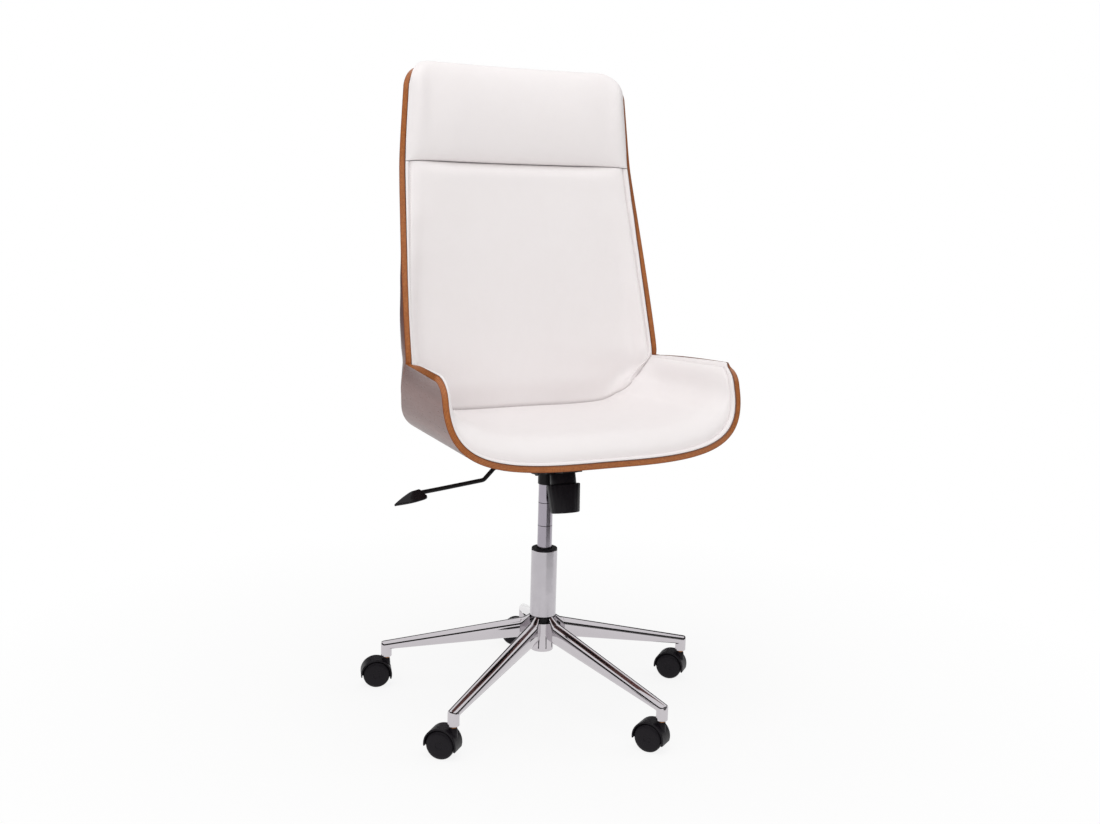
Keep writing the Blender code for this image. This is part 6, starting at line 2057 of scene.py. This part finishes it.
@dataclass
class LiftLever:
    """Bent lever rod and its leaf-shaped paddle."""

    finishes: Finishes
    collar_top: float
    rise: float = 0.0154
    radius: float = 0.0040
    route: tuple = (
        (-0.0480, 0.0), (-0.1090, 0.0), (-0.1311, -0.0219), (-0.2190, -0.0316), (-0.2560, -0.0354)
    )
    bend: float = 0.0120
    paddle_length: float = 0.0620
    paddle_width: float = 0.0260
    paddle_rim: float = 0.0056
    crest: float = 0.0166
    crest_width: float = 0.0180
    crest_end: float = 0.4000
    overlap: float = 0.0105
    drop: float = 0.0094
    lean: float = 11.2
    steps: int = 48

    def path(self) -> list[Vector]:
        """Centre line of the rod.

        Returns:
            Its points, with rounded bends.
        """
        points = [Vector((x, 0.0, self.collar_top + self.rise + z)) for x, z in self.route]
        route = [points[0]]
        for before, corner, after in zip(points, points[1:], points[2:]):
            back, ahead = (before - corner).normalized(), (after - corner).normalized()
            turn = math.pi - back.angle(ahead)
            room = 0.4 * min((before - corner).length, (after - corner).length)
            trim = min(self.bend * math.tan(turn / 2), room)
            start, end = corner + back * trim, corner + ahead * trim
            for t in (i / 8 for i in range(9)):
                route.append(start * (1 - t) ** 2 + corner * 2 * t * (1 - t) + end * t * t)
        return route + points[-1:]

    def leaf_ring(self, t: float) -> Profile:
        """Outline of the paddle across its length.

        Args:
            t: share of the length from the inner end.

        Returns:
            Across and up, for each point.
        """
        fall = clamp((t - self.crest_end) / (1.0 - self.crest_end), 0.0, 1.0)
        half = self.paddle_width / 2 * roll(t + 0.02, 0.20) * (1.0 - 0.94 * fall**1.7)
        rim = self.paddle_rim / 2 * mix(1.0, 0.6, fall)
        crest = (self.crest - rim) * (1.0 - fall**1.2) * ease(-0.02, 0.19, t)
        width = mix(self.crest_width / 2, half, fall)
        points = []
        for a in round_angles(self.steps):
            u = math.cos(a)
            lift = rim * (1.0 - u**4) ** 0.25
            hump = crest * math.exp(-((u * half / width) ** 2)) * (1.0 - u**4)
            points.append((u * half, lift + hump if math.sin(a) > 0 else -lift))
        return points

    def build(self) -> None:
        """Build the rod, and the paddle with its hump over the rod's end."""
        path = self.path()
        rod = ringed("lever_rod_bent", self.finishes["steel"], 50.0, [swept_bar(path, self.radius, 20)])
        seat_piece(rod, "lever", ["lever_rod"])
        lean = math.radians(self.lean)
        along = Vector((-math.cos(lean), 0.0, -math.sin(lean)))
        up = Vector((-math.sin(lean), 0.0, math.cos(lean)))
        start = path[-1] - along * self.overlap - Vector((0.0, 0.0, self.drop))
        rings = []
        for t in (0.5 - 0.5 * math.cos(math.pi * i / self.steps) for i in range(self.steps + 1)):
            centre = start + along * (self.paddle_length * t)
            rings.append([centre + Vector((0.0, y, 0.0)) + up * z for y, z in self.leaf_ring(t)])
        paddle = ringed("lever_paddle_moulded", self.finishes["gloss_plastic"], 50.0, [rings])
        seat_piece(paddle, "lever", ["lever_paddle"])


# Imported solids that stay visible


def dress_nodes(nodes: dict[str, Object], finishes: Finishes, record: dict) -> None:
    """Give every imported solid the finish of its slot.

    Args:
        nodes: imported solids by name.
        finishes: the built finishes.
        record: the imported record.
    """
    by_slot = {
        Slot.LEATHERETTE: "leatherette",
        Slot.WALNUT: "back_veneer",
        Slot.CHROME: "chrome",
        Slot.SATIN_STEEL: "satin",
        Slot.BLACK_PLASTIC: "plastic",
        Slot.BLACK_STEEL: "steel",
        Slot.ZINC_STEEL: "zinc",
    }
    for entry in record["subparts"]:
        for slot in nodes[entry["node"]].material_slots:
            slot.material = finishes[by_slot[Slot(entry["material_slot"])]]


# Studio


@dataclass
class Studio:
    """Pale floor, soft light and the camera."""

    lens: float = 42.587
    azimuth: float = -27.633
    pitch: float = 9.690
    turn: float = 1.532
    place: tuple[float, float, float] = (-1.1204, -2.1482, 0.9861)
    floor_size: float = 30.0
    card_steps: int = 48

    def build_camera(self) -> None:
        """Camera at the photograph's viewing angle."""
        a, e, r = (math.radians(v) for v in (self.azimuth, self.pitch, self.turn))
        back = Vector((math.sin(a) * math.cos(e), -math.cos(a) * math.cos(e), math.sin(e)))
        right = Vector((math.cos(a), math.sin(a), 0.0))
        up = back.cross(right)
        turned_right = right * math.cos(r) + up * math.sin(r)
        turned_up = up * math.cos(r) - right * math.sin(r)
        data = bpy.data.cameras.new("photo_camera")
        data.lens = self.lens
        data.sensor_width = 36.0
        data.clip_end = 100.0
        camera = bpy.data.objects.new("photo_camera", data)
        axes = Matrix((turned_right, turned_up, back)).transposed().to_4x4()
        camera.matrix_world = Matrix.Translation(Vector(self.place)) @ axes
        bpy.context.scene.collection.objects.link(camera)
        bpy.context.scene.camera = camera

    def build_floor(self) -> None:
        """White floor that keeps the chair's shadow."""
        bm = bmesh.new()
        bmesh.ops.create_grid(bm, x_segments=1, y_segments=1, size=self.floor_size)
        paint = {"Base_Color": (0.93, 0.93, 0.93), "Roughness": 0.9, "Specular_IOR_Level": 0.1}
        surface = Surface("studio_floor", **paint)
        white = surface.add("Emission", Color=(1.0, 1.0, 1.0), Strength=1.0).outputs[0]
        away = surface.add("VectorMath", {"operation": "LENGTH"}, i0=surface.place()).outputs["Value"]
        share = surface.math("MULTIPLY", surface.directly_seen(), surface.spread(away, 0.4, 1.3, 0.86, 1.0))
        blend = surface.add("MixShader", i0=share, i1=surface.shader.outputs[0], i2=white)
        surface.feed(surface.tree.nodes["Material Output"], Surface=blend.outputs[0])
        finish_mesh("studio_floor", bm, [surface.made])

    def build_world(self) -> None:
        """Even light from all round, white where it is seen."""
        world = bpy.data.worlds.new("studio_world")
        bpy.context.scene.world = world
        world.use_nodes = True
        world.node_tree.nodes.clear()
        nodes = Nodes(world.node_tree)
        light = nodes.add("Background", Color=(1.0, 0.99, 0.985), Strength=0.56).outputs[0]
        white = nodes.add("Background", Color=(1.0, 1.0, 1.0), Strength=1.0).outputs[0]
        blend = nodes.add("MixShader", i0=nodes.directly_seen(), i1=light, i2=white)
        nodes.add("OutputWorld", Surface=blend.outputs[0])

    def lamp(self, name: str, place: Sequence[float], aim_z: float, size: float, power: float) -> None:
        """One soft box that mirrors don't show.

        Args:
            name: name of the lamp.
            place: where it stands.
            aim_z: height on the lift column that it points at.
            size: its width and height.
            power: its power in watts.
        """
        data = bpy.data.lights.new(name, "AREA")
        data.shape = "SQUARE"
        data.size = size
        data.energy = power
        made = bpy.data.objects.new(name, data)
        turn = (Vector((0.0, 0.0, aim_z)) - Vector(place)).to_track_quat("-Z", "Y")
        made.matrix_world = Matrix.Translation(Vector(place)) @ turn.to_matrix().to_4x4()
        made.visible_camera = False
        made.visible_glossy = False
        bpy.context.scene.collection.objects.link(made)

    def flag(
        self, name: str, radius: float, heights: tuple, grey: float, span: tuple = (0.0, 360.0)
    ) -> None:
        """A dark card curved round the chair that only polished metal shows.

        Args:
            name: name of the card.
            radius: distance from the column.
            heights: of its lower and its upper edge.
            grey: its colour.
            span: azimuth in degrees at which it starts and ends.
        """
        surface = Surface(name, Base_Color=(grey, grey, grey), Roughness=1.0)
        bm = bmesh.new()
        edges = []
        for i in range(self.card_steps + 1):
            a = math.radians(mix(*span, i / self.card_steps))
            x, y = radius * math.cos(a), radius * math.sin(a)
            edges.append([bm.verts.new((x, y, z)) for z in heights])
        for (low_a, high_a), (low_b, high_b) in zip(edges, edges[1:]):
            bm.faces.new((low_a, low_b, high_b, high_a))
        card = finish_mesh(name, bm, [surface.made], 60.0)
        card.visible_camera = False
        card.visible_diffuse = False
        card.visible_shadow = False

    def build(self) -> None:
        """Build the floor, the light and the camera."""
        self.build_camera()
        self.build_floor()
        self.build_world()
        self.lamp("soft_box_top", (-0.6, -0.8, 3.4), 0.6, 2.4, 33.0)
        self.lamp("soft_box_front", (-2.6, -3.2, 1.9), 0.7, 2.0, 32.0)
        self.lamp("soft_box_right", (3.0, -1.2, 1.8), 0.7, 1.6, 9.0)
        self.flag("studio_band", 4.6, (0.20, 2.60), 0.02)
        self.flag("studio_card", 1.15, (0.0, 0.30), 0.17, (263.0, 332.0))
        bpy.context.scene.view_settings.view_transform = "Standard"


def main() -> None:
    """Build the chair's looks in order and report each piece."""
    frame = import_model()
    finishes = Finishes()
    dress_nodes(frame["nodes"], finishes, frame["record"])
    collar_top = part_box("tilt_bracket")[0].z + COLLAR_HEIGHT
    shells = ShellPair(ShellForm(seat_z=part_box("seat_shell")[0].z), finishes)
    shells.build()
    PadSet(shells, finishes).build()
    casters = CasterSet(finishes)
    casters.build()
    base = StarBase(finishes, casters)
    base.build()
    GasLift(finishes, base.tube_top).build()
    TiltMechanism(finishes, collar_top).build()
    LiftLever(finishes, collar_top).build()
    Studio().build()
    LOG.info("chair complete")


if __name__ == "__main__":
    main()
